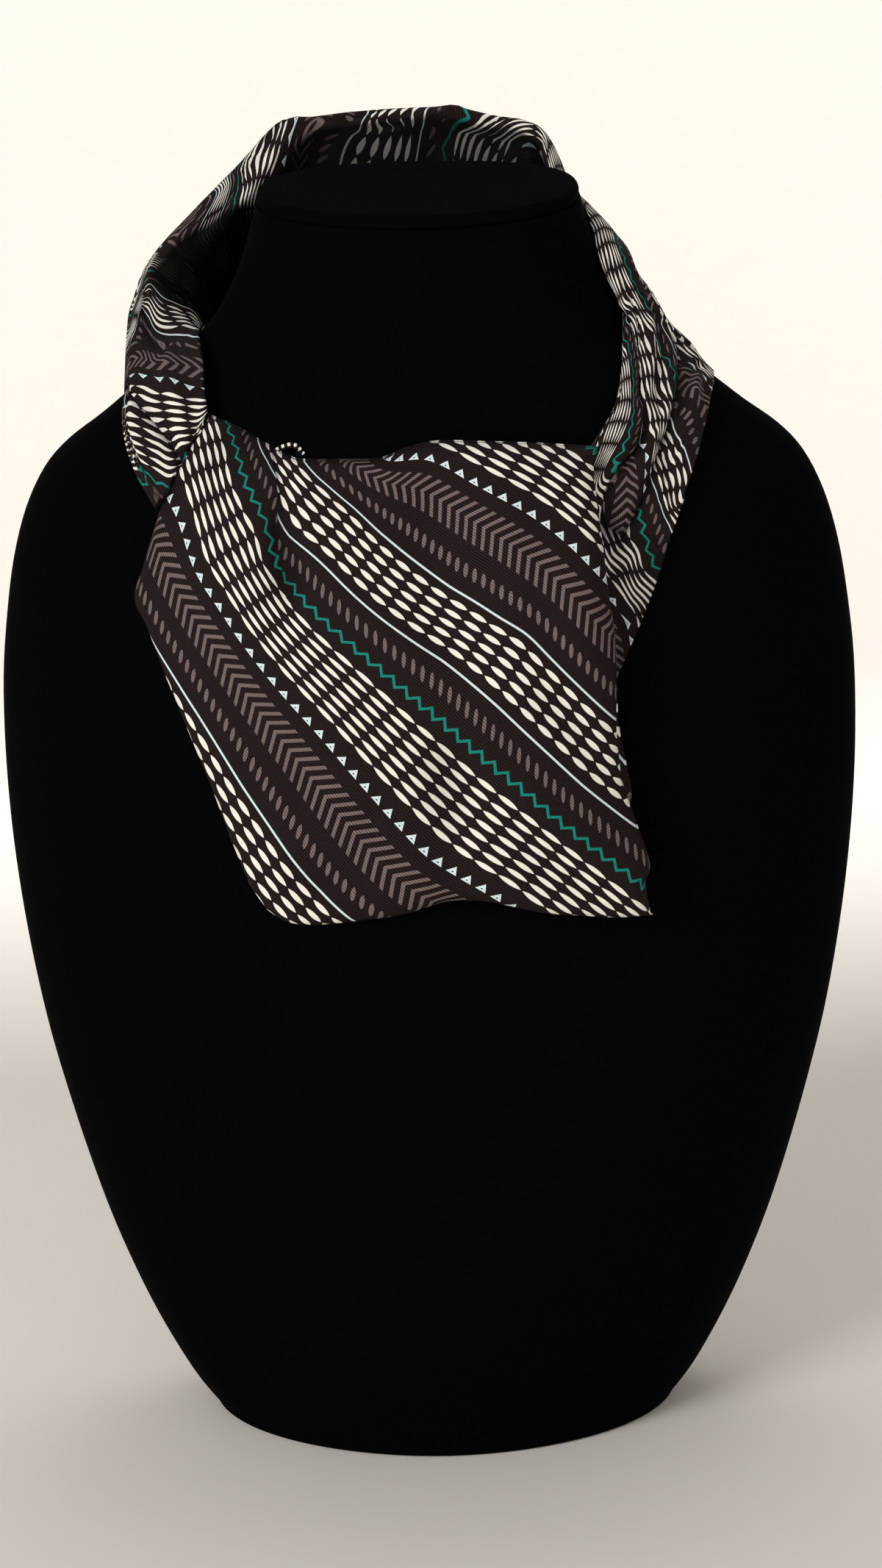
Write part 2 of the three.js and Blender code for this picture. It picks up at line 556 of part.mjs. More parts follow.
add('display_bust', displayBust(), velvet);
add('neck_cap', neckCap(), velvet);
add('left_stretch', bandPiece('left', 0, BAND_SEAMS.left - SEAM_STEP, 20), twill);
add('back_stretch', bandPiece('back', BAND_SEAMS.left, BAND_SEAMS.back - SEAM_STEP, 12), twill);
add('right_stretch', bandPiece('right', BAND_SEAMS.back, WOUND_BAND.length - 1, 28), twill);
add('under_end', underEnd(14, 8), twill);
add('inner_curl', curl(), twill);
add('front_panel', frontPanel(27, 25), twill);

// The origin is under the middle of the whole, on the surface that it stands on
const reach = new THREE.Box3().setFromObject(cravat);
cravat.position.set(-(reach.min.x + reach.max.x) / 2, -(reach.min.y + reach.max.y) / 2, -reach.min.z);

export default cravat;
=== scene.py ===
# A printed twill cravat, wound once round the neck of a black velvet display bust. The packed
# model is the frame. The file makes the camera and a plain pale studio, then the bust, its neck
# cap, and the cravat from its wound middle to its ends.
import math

import bpy
import numpy as np
from mathutils import Matrix, Vector
from mathutils.bvhtree import BVHTree


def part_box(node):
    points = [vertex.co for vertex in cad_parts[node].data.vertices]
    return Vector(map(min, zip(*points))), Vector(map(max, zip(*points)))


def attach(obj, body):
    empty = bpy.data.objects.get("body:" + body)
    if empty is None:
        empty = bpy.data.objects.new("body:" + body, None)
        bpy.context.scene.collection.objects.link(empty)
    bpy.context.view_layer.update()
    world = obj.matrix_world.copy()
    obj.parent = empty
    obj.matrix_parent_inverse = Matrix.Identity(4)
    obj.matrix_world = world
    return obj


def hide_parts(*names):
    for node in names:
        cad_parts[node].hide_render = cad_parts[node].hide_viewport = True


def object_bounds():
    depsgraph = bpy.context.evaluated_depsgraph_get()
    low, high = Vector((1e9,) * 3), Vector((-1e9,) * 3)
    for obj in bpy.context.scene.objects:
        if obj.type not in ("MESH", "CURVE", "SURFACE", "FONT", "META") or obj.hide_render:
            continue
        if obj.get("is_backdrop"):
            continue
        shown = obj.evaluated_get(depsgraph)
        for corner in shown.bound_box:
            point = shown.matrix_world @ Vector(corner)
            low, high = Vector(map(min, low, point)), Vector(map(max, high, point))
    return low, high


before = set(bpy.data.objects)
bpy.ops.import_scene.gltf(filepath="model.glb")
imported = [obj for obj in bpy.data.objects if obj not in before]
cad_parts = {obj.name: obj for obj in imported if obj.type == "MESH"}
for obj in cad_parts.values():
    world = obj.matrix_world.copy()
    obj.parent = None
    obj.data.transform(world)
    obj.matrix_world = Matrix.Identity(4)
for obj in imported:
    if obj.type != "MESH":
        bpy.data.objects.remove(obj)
cad_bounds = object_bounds()

# All shapes are worked out in millimetres about the bust's own axis, with X to the viewer's right
# and Y away from the viewer, and go to metres in the frame as their mesh is made.
MM = 0.001
BUST_FRONT_REACH = 101.0
AXIS_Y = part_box("display_bust")[0].y / MM + BUST_FRONT_REACH


def in_frame(points):
    """Points about the bust's axis, in millimetres, as points of the frame, in metres."""
    return (np.asarray(points, float) + (0.0, AXIS_Y, 0.0)) * MM


# Camera: about a metre in front and level with the neck, looking down and leaning slightly, as
# the photo was taken. The focal length is in the photo's own pixels.
PHOTO_SIZE = (1200.0, 2133.0)
FOCAL_PIXELS = 3206.0
SENSOR = 36.0
EYE = np.array([3.9, -962.0, 456.0])
LOOKS_DOWN = math.radians(11.0)
LEANS = math.radians(1.3)

look = np.array([0.0, math.cos(LOOKS_DOWN), -math.sin(LOOKS_DOWN)])
upright = np.array([0.0, math.sin(LOOKS_DOWN), math.cos(LOOKS_DOWN)])
sideways = np.array([1.0, 0.0, 0.0])
camera_right = math.cos(LEANS) * sideways - math.sin(LEANS) * upright
camera_up = math.sin(LEANS) * sideways + math.cos(LEANS) * upright

camera_data = bpy.data.cameras.new("camera")
camera_data.sensor_width = SENSOR
camera_data.lens = FOCAL_PIXELS * SENSOR / PHOTO_SIZE[1]
camera = bpy.data.objects.new("camera", camera_data)
bpy.context.scene.collection.objects.link(camera)
turned = Matrix((camera_right, camera_up, -look)).transposed().to_4x4()
camera.matrix_world = Matrix.Translation(Vector(in_frame(EYE))) @ turned
bpy.context.scene.camera = camera
bpy.context.scene.view_settings.view_transform = "Standard"

# Floor: a matt pale disc that lies flat for its first third and then curves up all round, so
# that no horizon shows.
FLOOR_FLAT = 2200.0
FLOOR_FLAT_SHARE = 1 / 3
FLOOR_RISE = 1500.0
FLOOR_RINGS = 24
FLOOR_SPOKES = 96
FLOOR_FINISH = {"Base Color": (0.96, 0.91, 0.845, 1), "Roughness": 0.9}


def material(name, values):
    """A new material and its Principled shader, with plain values on the shader's own sockets."""
    made = bpy.data.materials.new(name)
    made.use_nodes = True
    shader = made.node_tree.nodes["Principled BSDF"]
    for socket, value in values.items():
        shader.inputs[socket].default_value = value
    return made, shader


def mesh_object(name, points, faces, finish):
    """A smooth-shaded mesh of points about the bust's axis, in millimetres."""
    mesh = bpy.data.meshes.new(name)
    mesh.from_pydata(in_frame(points).tolist(), [], faces)
    mesh.polygons.foreach_set("use_smooth", [True] * len(mesh.polygons))
    mesh.materials.append(finish)
    mesh.update()
    made = bpy.data.objects.new(name, mesh)
    bpy.context.scene.collection.objects.link(made)
    return made


def ring_faces(rings, around):
    """Quads between rings of points, each ring closed on itself."""
    faces = []
    for ring in range(rings - 1):
        for step in range(around):
            here = ring * around + step
            beside = ring * around + (step + 1) % around
            faces.append((here, beside, beside + around, here + around))
    return faces


spokes = np.linspace(0, 2 * math.pi, FLOOR_SPOKES, endpoint=False)
floor_points = []
for ring in range(FLOOR_RINGS + 1):
    share = ring / FLOOR_RINGS
    bend = max(0.0, (share - FLOOR_FLAT_SHARE) / (1 - FLOOR_FLAT_SHARE)) * math.pi / 2
    radius = FLOOR_FLAT * min(1.0, share / FLOOR_FLAT_SHARE) + FLOOR_RISE * math.sin(bend)
    height = FLOOR_RISE * (1 - math.cos(bend))
    for spoke in spokes:
        floor_points.append((radius * math.cos(spoke), radius * math.sin(spoke), height))
pale = material("pale_floor", FLOOR_FINISH)[0]
floor = mesh_object("floor", floor_points, ring_faces(FLOOR_RINGS + 1, FLOOR_SPOKES), pale)
floor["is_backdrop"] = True

# Light: a pale room, a key lamp at the front left, a weak one at the front right and one above.
# Four more are turned to the curved rim, which they light without reaching the velvet's front.
ROOM_COLOR = (1.0, 0.985, 0.955, 1)
ROOM_STRENGTH = 0.27
# Columns: name, place and aim in metres, side in metres, watts
LAMPS = (
    ("key_light", (-1.3, -1.5, 1.1), (0, 0, 0.35), 0.8, 22),
    ("fill_light", (0.5, -1.6, 0.7), (0, 0, 0.35), 1.0, 2.5),
    ("top_light", (0.1, 0.4, 1.8), (0, 0, 0.4), 1.0, 5),
)
WALL_LAMP_PLACE = (1.2, 0.9, 1.3)
WALL_LAMP_AIM = (1.0, 4.0, 0.4)
WALL_LAMP_SIDE = 1.4
WALL_LAMP_WATTS = 27

room = bpy.data.worlds.new("pale_room")
bpy.context.scene.world = room
room.use_nodes = True
room_shader = room.node_tree.nodes["Background"]
room_shader.inputs["Color"].default_value = ROOM_COLOR
room_shader.inputs["Strength"].default_value = ROOM_STRENGTH


def soft_light(name, place, aim, side, watts):
    """A large square lamp, placed in metres and turned to a point."""
    lamp = bpy.data.lights.new(name, "AREA")
    lamp.shape = "SQUARE"
    lamp.size = side
    lamp.energy = watts
    made = bpy.data.objects.new(name, lamp)
    bpy.context.scene.collection.objects.link(made)
    made.location = place
    made.rotation_euler = (Vector(aim) - Vector(place)).to_track_quat("-Z", "Y").to_euler()


for lamp_row in LAMPS:
    soft_light(*lamp_row)
for across in (-1, 1):
    for back in (-1, 1):
        place, aim = (Vector(v) * Vector((across, back, 1)) for v in (WALL_LAMP_PLACE, WALL_LAMP_AIM))
        soft_light("wall_light", place, aim, WALL_LAMP_SIDE, WALL_LAMP_WATTS)

# Display bust: one limbless moulded form covered in short black pile velvet, drawn tight, with a
# flat base that it stands on and a turned lower edge.
# Columns, in millimetres: level, half width, reach to the front, reach to the back.
BUST_LEVELS = np.array([
    (0, 96, 63, 35), (3, 100, 66, 37.5), (10, 105.5, 68.3, 39.2), (20, 112, 71, 41),
    (40, 122.3, 77.5, 44.5), (60, 131, 83, 47), (85, 140.3, 88, 49.7), (110, 148, 92, 52),
    (140, 156, 95.5, 54.3), (170, 163, 98, 56), (200, 168.2, 100, 57.2), (230, 172, 101, 58),
    (260, 174.4, 101, 58.7), (290, 175.2, 99.5, 59), (320, 174.3, 96.5, 59),
    (345, 171.5, 92, 58.7), (368, 167.5, 86, 58), (388, 161.5, 79.5, 57), (404, 153.2, 73.5, 56),
    (415, 143, 69, 55), (425, 129, 65, 54.5), (435, 116, 61.5, 54), (445, 101, 59, 53),
    (455, 89, 57.5, 52.5), (466, 80, 57, 52), (480, 72.5, 56.5, 51.5), (494, 67.5, 56.5, 51),
    (505.5, 64.5, 57, 51),
])
# The levels dip to the front with the neck: from this height, up to this one, and how steeply
NECK_TILT_FROM = 405.0
NECK_TILT_TO = 506.0
NECK_TILT = 0.257
# Powers of the levels' superellipses: the base's front, which fades into the front, and the back
BASE_POWER = 1.9
BASE_FADE = 130.0
FRONT_POWER = 2.0
BACK_POWER = 2.5
BUST_SEGMENTS = 144
BUST_STEPS_PER_LEVEL = 4
BASE_TURN = 3.0
BASE_TURN_STEPS = 5
VELVET_FINISH = {
    "Base Color": (0.0016, 0.0016, 0.0019, 1), "Roughness": 0.95, "Specular IOR Level": 0.005,
    "Sheen Weight": 0.007, "Sheen Roughness": 0.3,
}


def smooth_rows(rows, at):
    """Rows of a table at any places between them, on a smooth curve through the rows."""
    rows = np.asarray(rows, float)
    last = len(rows) - 1
    at = np.atleast_1d(np.asarray(at, float))
    i = np.clip(np.floor(at).astype(int), 0, last - 1)
    t = (at - i).reshape((-1,) + (1,) * (rows.ndim - 1))
    before, start = rows[np.maximum(i - 1, 0)], rows[i]
    end, after = rows[i + 1], rows[np.minimum(i + 2, last)]
    return 0.5 * (
        2 * start
        + (end - before) * t
        + (2 * before - 5 * start + 4 * end - after) * t**2
        + (3 * start - before - 3 * end + after) * t**3
    )


def tilt_at(level):
    """How steeply a level dips to the front, by its height on the bust."""
    return NECK_TILT * np.clip((level - NECK_TILT_FROM) / (NECK_TILT_TO - NECK_TILT_FROM), 0, 1)


def bust_ring(level, half, front, back, segments):
    """One level of the bust, a superellipse that dips to the front with the neck."""
    angle = np.linspace(0, 2 * math.pi, segments, endpoint=False)
    across, deep = np.cos(angle), np.sin(angle)
    front_power = BASE_POWER + (FRONT_POWER - BASE_POWER) * min(level / BASE_FADE, 1)
    power = 2 / np.where(deep < 0, front_power, BACK_POWER)
    x = half * np.sign(across) * np.abs(across) ** power
    y = np.where(deep < 0, front, back) * np.sign(deep) * np.abs(deep) ** power
    return np.stack([x, y, level + tilt_at(level) * y], axis=-1)


def closed_rings(name, rings, finish):
    """A closed mesh through level rings, with a fan at each end."""
    around = len(rings[0])
    points = np.concatenate(rings + [[rings[0].mean(0)], [rings[-1].mean(0)]])
    faces = ring_faces(len(rings), around)
    low, high = len(points) - 2, len(points) - 1
    top = (len(rings) - 1) * around
    for step in range(around):
        beside = (step + 1) % around
        faces.append((low, beside, step))
        faces.append((high, top + step, top + beside))
    return mesh_object(name, points, faces, finish)


velvet = material("black_velvet", VELVET_FINISH)[0]
bust_rings = []
for turn in range(BASE_TURN_STEPS):
    angle = turn / BASE_TURN_STEPS * math.pi / 2
    draw = BASE_TURN * (1 - math.sin(angle))
    row = BUST_LEVELS[1] - (0, draw, draw, draw)
    bust_rings.append(bust_ring(BASE_TURN * (1 - math.cos(angle)), *row[1:], BUST_SEGMENTS))
steps = (len(BUST_LEVELS) - 2) * BUST_STEPS_PER_LEVEL
for row in smooth_rows(BUST_LEVELS[1:], np.linspace(0, len(BUST_LEVELS) - 2, steps + 1)):
    bust_rings.append(bust_ring(*row, BUST_SEGMENTS))
bust = closed_rings("velvet_bust", bust_rings, velvet)
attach(bust, "root")
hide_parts("display_bust")

# Neck cap: a disc of board covered in the same velvet, glued on to close the neck, with a soft
# turned edge. Its size is the half width, the reach to the front and the reach to the back.
CAP_LEVEL = 505.8
CAP_THICKNESS = 5.0
CAP_SIZE = (63.8, 56.6, 50.6)
CAP_ROUND = 1.9
CAP_STEPS = 6
CAP_TOP_RINGS = (0.8, 0.5, 0.2)

cap_rings = []
for side in (-1, 1):
    for turn in range(CAP_STEPS + 1):
        angle = (turn / CAP_STEPS - (side < 0)) * math.pi / 2
        draw = CAP_ROUND * (1 - math.cos(angle))
        middle = CAP_LEVEL + (CAP_ROUND if side < 0 else CAP_THICKNESS - CAP_ROUND)
        sizes = [size - draw for size in CAP_SIZE]
        cap_rings.append(bust_ring(middle + CAP_ROUND * math.sin(angle), *sizes, BUST_SEGMENTS))
for share in CAP_TOP_RINGS:
    sizes = [(size - CAP_ROUND) * share for size in CAP_SIZE]
    cap_rings.append(bust_ring(CAP_LEVEL + CAP_THICKNESS, *sizes, BUST_SEGMENTS))
cap = closed_rings("velvet_neck_cap", cap_rings, velvet)
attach(cap, "root")
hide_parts("neck_cap")

# Wound band: the middle of the cravat, a flat tube of twill that goes from the fold on the left
# round the back of the neck and down the right, turned over at the top like a collar.
# Columns, in millimetres: inner foot, lip, rim and hem, a row for each station round the neck.
WOUND_BAND = np.array([
    ((-81.5, -58.5, 425.5), (-90, -66, 411), (-98.5, -72, 395), (-102, -68, 391)),
    ((-82.5, -56.5, 430), (-94, -60, 423), (-106.5, -65, 408), (-110, -58, 404)),
    ((-83.5, -51, 437), (-97, -54, 433), (-111.8, -54, 420), (-114.8, -46, 415)),
    ((-84.5, -42, 445), (-99, -44, 441), (-113.8, -42, 431), (-117, -34, 425)),
    ((-86.5, -31, 452), (-101, -33, 446.5), (-113.6, -31, 443.5), (-117, -22, 431)),
    ((-88, -19, 456), (-103, -21, 450), (-113.6, -18, 455), (-117, -10, 435)),
    ((-89, -4, 457), (-105, -6, 458), (-112.4, 0, 470), (-117, 4, 437.5)),
    ((-88, 10, 458), (-97.5, 6, 478), (-106, 12, 487), (-116.5, 18, 439)),
    ((-81, 25, 462), (-83.5, 18, 493), (-90.5, 26, 505), (-109, 34, 441)),
    ((-68, 41, 470), (-68, 32, 510), (-73.5, 40, 523), (-95, 53, 444)),
    ((-55, 53.5, 478), (-54.5, 45, 528), (-56.5, 51.5, 541), (-78, 67, 446)),
    ((-44, 57.5, 482), (-44, 54, 532), (-43, 58, 543), (-60, 75, 447)),
    ((-24, 60.5, 485), (-24, 58, 535.5), (-24, 63, 545.3), (-32, 82, 448)),
    ((-2, 61.5, 486), (-2, 59, 536.5), (-2, 65, 546.3), (-4, 85, 449)),
    ((16, 61, 486), (16, 58, 536), (16, 64.5, 546), (22, 84, 448.5)),
    ((33, 59.5, 484), (33, 56, 532), (33, 61, 542), (47, 79, 447)),
    ((45, 56.5, 481), (44.5, 52, 529), (45, 56, 539.5), (62, 72, 446)),
    ((54, 51, 480), (51, 44, 524), (53, 47, 533.5), (76, 63, 445)),
    ((62, 42, 478), (55, 35, 512), (57.5, 38, 518.5), (88, 50, 443.5)),
    ((67, 30, 478), (58.5, 24, 506), (61.5, 26, 510.5), (98, 35, 442)),
    ((71, 16, 479), (62.8, 13, 501), (66.5, 14, 504), (105, 21, 441)),
    ((73.5, 5, 478), (68.5, -2, 492.5), (72, 0, 495.5), (111, 8, 439.8)),
    ((75.5, -4, 474), (69.8, -14, 483.5), (73.5, -14, 486.5), (114, -4, 438.3)),
    ((77.5, -10, 469), (73, -19, 474), (76.5, -19.5, 477), (115.5, -12, 437)),
    ((80.5, -14, 464), (77, -21.5, 465), (80, -22.5, 468), (115.3, -19, 435.5)),
    ((82, -22, 456.5), (78, -29.5, 456), (81, -31, 458.5), (114.3, -26, 432.6)),
    ((81.5, -35, 445), (77.2, -42, 442), (80, -43.5, 444), (112.3, -34.5, 428.5)),
    ((79, -46, 434.5), (75.2, -50.5, 431.3), (78, -52.5, 433), (110, -43, 422.5)),
    ((74, -56, 425), (72.2, -58, 423.2), (75.5, -60, 424.5), (107.5, -50.5, 415.5)),
    ((65, -65, 412.5), (64.8, -67.5, 412.4), (69, -69.5, 413), (103.8, -59, 405.5)),
    ((54, -73, 397), (55, -75.5, 397), (60, -77, 397.3), (98.8, -65.5, 392.8)),
    ((46.5, -80.5, 378), (47.5, -83, 378), (53, -84.3, 378.3), (93, -72, 377)),
    ((39.5, -88.5, 354), (41, -91, 354), (46.5, -92, 354), (84, -81, 354)),
    ((34, -95.5, 325), (35.5, -98, 325), (41, -98.7, 325), (70.5, -92, 325.5)),
])
# The belly's bulge behind the neck, and the stations where it starts, is full, fades and ends
BULGE = 5.0
BULGE_STATIONS = (9, 12, 16, 19)
# How far the rim rolls out, at what share of the way to the belly, and where it is full
RIM_ROLL = 2.9
RIM_ROLL_SHARE = 0.14
RIM_ROLL_FULL_DROP = 30.0
# The whole tube's thickness, each layer's wall, and the least gap to the velvet, to which the
# tube's own thickness is added between these places across
BAND_CLOTH = 1.5
BAND_WALL = 0.55
BUST_GAP = 0.9
BUST_GAP_WIDENS = (1.2, 2.2)
# Across the band: 0 foot, 1 lip, 2 rim, 3 turn of the rim, 4 belly, 5 hem, and steps between them
BAND_SPAN_STEPS = (14, 14, 8, 26, 26)
# Stretches of the mesh: first and last station, and the rows in it
BAND_STRETCHES = ((0, 4, 44), (4, 20, 84), (20, 31.5, 120), (31.5, 33, 10))
# Main folds and gathers. Columns: place across, width, depth, first and last station.
BAND_FOLDS = (
    (0.8, 0.28, 1.5, 1, 4.5), (4, 0.4, -1.8, 3, 10), (0.6, 0.25, 1.8, 10.5, 14.2),
    (1.2, 0.22, -1.8, 11.4, 16), (3.5, 0.25, 2.8, 10.5, 16.5), (4.3, 0.22, -2.4, 11, 16),
    (3.35, 0.13, 1.2, 18, 31.5), (3.92, 0.14, 1.4, 19, 32), (4.6, 0.13, 1.2, 20, 32),
)
# Creases and soft ridges that run askew. Columns: width, height, then station and place across.
BAND_CREASES = (
    (1.6, -1.6, (0.15, 0.4), (0.0, 0.8), (0.15, 1.2)),
    (4.5, 1.3, (0.5, 0.7), (2.5, 0.9), (4.6, 0.6)),
    (1.8, -1.7, (4.9, 0.9), (5.5, 1.25), (6.2, 1.7)),
    (3.4, 1.4, (3.4, 1.8), (2.5, 1.75), (1.2, 1.85)),
    (1.7, -1.6, (6.7, 0.5), (6.9, 1.0), (7.1, 1.7)),
    (4.5, 1.5, (6.1, 0.4), (6.3, 1.2), (6.5, 1.7)),
    (2.4, 1.6, (8.2, 1.0), (9.2, 1.12), (9.9, 1.2)),
    (1.6, -1.8, (8.0, 1.3), (8.7, 1.5), (9.3, 1.75)),
    (1.5, -1.5, (9.4, 1.5), (9.9, 1.75), (10.3, 2.1)),
    (2.2, -2.2, (10.9, 0.6), (11.5, 1.2), (12.1, 1.8)),
    (2.2, -1.8, (13.4, 0.7), (14.2, 1.1), (15, 1.7)),
    (3.2, 1.7, (12.6, 0.9), (13.3, 1.4), (14, 1.8)),
    (3.2, 1.6, (15.4, 0.8), (16, 1.2), (16.6, 1.7)),
    (1.5, -1.6, (16.2, 0.9), (16.9, 1.4), (17.3, 1.8)),
    (1.4, -1.7, (22.6, 1.6), (24.2, 2.3), (25.6, 2.9)),
    (1.3, -1.5, (25.2, 3.5), (26.6, 3.62), (27.9, 3.9)),
    (1.2, -1.3, (23.4, 3.2), (24.6, 3.5), (25.6, 3.75)),
    (1.4, -1.5, (26.3, 2.3), (27.8, 2.6), (29, 2.9)),
    (1.2, -1.2, (28.2, 4.75), (29.1, 4.55), (30.2, 4.6)),
    (1.5, -1.6, (29.2, 4.4), (29.9, 4.7), (30.3, 4.9)),
    (1.8, -2.4, (30.7, 3.45), (30.95, 3.7), (31.0, 4.05)),
    (1.3, -1.5, (31.2, 3.7), (31.35, 4.1), (31.7, 4.5)),
    (2.2, 1.5, (28.6, 3.95), (29.8, 4.02), (30.6, 4.02)),
    (1.6, 1.2, (26, 4.05), (27.4, 4.1), (28.4, 4.15)),
    (1.6, 1.7, (23.2, 3.35), (23.6, 3.5), (24, 3.7)),
    (2.4, 1.4, (25.4, 4.6), (27, 4.65), (28.6, 4.7)),
    (1.5, -1.5, (24.5, 4.7), (26, 4.45), (27.6, 4.4)),
    (1.4, -1.6, (17.8, 3.2), (19.4, 3.6), (21, 3.75)),
    (1.6, -1.6, (18.6, 4.3), (20.2, 4.4), (22, 4.3)),
    (2, -1.8, (6.2, 3), (7.4, 3.5), (8.6, 4.2)),
    (2, -1.6, (1, 2.4), (2.6, 3), (4.4, 3.5)),
    (2.2, -1.6, (9, 2.6), (9.8, 3.3), (10.2, 4.3)),
)
# Pleats: past each line the band passes under a fold of itself. Each has the side that lies
# under, 1 towards the hem and -1 towards the foot, the distance over which the print's jump
# fades, and rows of the station, the place across and the cloth that the fold hides.
BAND_PLEATS = (
    (1, 2000, (
        (-1, 1.12, 13), (0, 1.12, 13), (0.64, 1.21, 12), (1.34, 1.36, 10), (1.93, 1.48, 9),
        (2.45, 1.6, 8.5), (3, 1.78, 7), (3.5, 2.05, 4), (4, 2.3, 0),
    )),
    (-1, 2000, (
        (23.4, -0.4, 76), (24, 0.2, 75), (24.6, 1.1, 74), (25.15, 1.9, 73), (25.7, 2.68, 72),
        (26.4, 2.98, 71), (27.3, 3.18, 69), (27.6, 3.32, 69), (28.54, 3.7, 67), (28.95, 3.76, 67),
        (29.5, 3.6, 68), (29.8, 3.42, 70), (30.2, 3.4, 73), (30.8, 3.7, 78), (31.05, 4.15, 81),
        (31.2, 6, 82), (40, 6, 82),
    )),
    (1, 2000, (
        (22.3, 5.4, 60), (23.1, 4.4, 60), (23.4, 3.8, 60), (24, 4.15, 61), (24.9, 4.25, 62),
        (25.5, 4.24, 63), (26.1, 4.29, 64), (27.7, 4.2, 67), (28.9, 4.2, 71), (29.9, 4.27, 75),
        (30.5, 4.22, 79), (31.05, 4.12, 82), (31.25, 4.1, 82),
    )),
)
# Width and depth of the groove along a pleat and of the drop beside it, how soft the drop's edge
# is, the hidden cloth at which they are full, and how far off the shader still knows the pleat
PLEAT_GROOVE = (1.5, 2.1)
PLEAT_DROP = (7.0, 0.9)
PLEAT_EDGE = 1.0
PLEAT_FULL = 8.0
PLEAT_REACH = 6.0
# Painted shade: the deep gap between the band and the neck, which hardly any light reaches, is
# darkened in the colour below the line. Columns: station, place across, how dark.
PAINTED_SHADE_LINE = (
    (6, 1.8, 0.99), (7, 1.68, 0.99), (7.4, 1.62, 0.99), (7.8, 1.48, 0.99), (8.2, 1.36, 0.99),
    (8.7, 1.1, 0.99), (9, 0.85, 0.99), (10.2, 0.95, 0.96), (11, 1.35, 0.9), (12.5, 1.4, 0.85),
    (16, 1.4, 0.85), (17, 1.2, 0.9), (18, 0.9, 0.95), (21, 0.75, 0.95), (23.5, 0.2, 0.9), (25, -1, 0.9),
)
# Where the painted shade begins. Columns: place across, station.
PAINTED_SHADE_START = ((0, 7.15), (0.23, 6.97), (0.46, 6.81), (0.94, 6.57), (1.6, 6.44), (2.2, 6.4))
PAINTED_SHADE_EDGE = 0.12
# Painted shade at the bottoms of folds: how dark for each millimetre of depth, and the darkest
TROUGH_SHADE = 0.11
TROUGH_DARKEST = 0.5
# How far the tube's side folds stand out, as a share of its thickness
SIDE_FOLD = 0.4
# Rounds that settle a point's level and its gap to the velvet, and the step that feels its slope
LEVEL_ROUNDS = 12
CLEAR_ROUNDS = 5
CLEAR_PROBE = 0.05


def level_size(level, column):
    """One of the bust's sizes at any level."""
    return np.interp(level, BUST_LEVELS[:, 0], BUST_LEVELS[:, column])


def level_of(y, z):
    """The bust's own level at a point, as its levels dip to the front with the neck."""
    level = z
    for turn in range(LEVEL_ROUNDS):
        level = z - tilt_at(level) * y
    return level


def bust_share(points):
    """How far out points are in the bust's sections: 1 on the velvet, more outside it."""
    x, y, z = points[..., 0], points[..., 1], points[..., 2]
    level = level_of(y, z)
    power = np.where(y < 0, FRONT_POWER, BACK_POWER)
    reach = np.where(y < 0, level_size(level, 2), level_size(level, 3))
    wide = (np.abs(x) / level_size(level, 1)) ** power
    return (wide + (np.abs(y) / reach) ** power) ** (1 / power)


def clear_of_bust(points, gap):
    """Points moved straight out of the velvet until they are at least the gap away from it."""
    for turn in range(CLEAR_ROUNDS):
        share = bust_share(points)
        rises = []
        for probe in CLEAR_PROBE * np.eye(3):
            rises.append((bust_share(points + probe) - bust_share(points - probe)) / (2 * CLEAR_PROBE))
        slope = np.stack(rises, axis=-1)
        steep = np.linalg.norm(slope, axis=-1)
        above = level_of(points[..., 1], points[..., 2]) > CAP_LEVEL + CAP_THICKNESS
        short = np.where(above, 0, np.maximum(gap - (share - 1) / steep, 0))
        points = points + slope / steep[..., None] * short[..., None]
    return points


def smooth_step(value, low, high):
    """0 below the low value, 1 above the high one, and a smooth rise between them."""
    t = np.clip((value - low) / (high - low), 0, 1)
    return t * t * (3 - 2 * t)


def curve_through(keys, at):
    """Points on a centripetal curve through each row's keys, at places that count the keys."""
    ends = (2 * keys[:, :1] - keys[:, 1:2], 2 * keys[:, -1:] - keys[:, -2:-1])
    keys = np.concatenate([ends[0], keys, ends[1]], axis=1)
    gaps = np.maximum(np.linalg.norm(np.diff(keys, axis=1), axis=2), 1e-4) ** 0.5
    i = np.minimum(at.astype(int), keys.shape[1] - 4)
    t = (at - i)[None, :, None]
    p0, p1, p2, p3 = (keys[:, i + k] for k in range(4))
    d0, d1, d2 = (gaps[:, i + k, None] for k in range(3))
    leave = ((p1 - p0) / d0 - (p2 - p0) / (d0 + d1) + (p2 - p1) / d1) * d1
    arrive = ((p2 - p1) / d1 - (p3 - p1) / (d1 + d2) + (p3 - p2) / d2) * d1
    return (
        p1
        + leave * t
        + (3 * (p2 - p1) - 2 * leave - arrive) * t**2
        + (2 * (p1 - p2) + leave + arrive) * t**3
    )


def crease_height(x, z, creases):
    """The height that soft creases add at places of a chart, each a line through a few points."""
    height = np.zeros_like(x)
    for width, rise, *points in creases:
        away = np.full_like(x, np.inf)
        for (x1, z1), (x2, z2) in zip(points, points[1:]):
            dx, dz = x2 - x1, z2 - z1
            along = np.clip(((x - x1) * dx + (z - z1) * dz) / (dx * dx + dz * dz), 0, 1)
            away = np.minimum(away, np.hypot(x - x1 - along * dx, z - z1 - along * dz))
        height += rise * np.exp(-((away / width) ** 2))
    return height


def trough_shade(height):
    """Painted shade at the bottoms of folds, from how far they lie below the cloth."""
    return np.clip(-height * TROUGH_SHADE, 0, TROUGH_DARKEST)


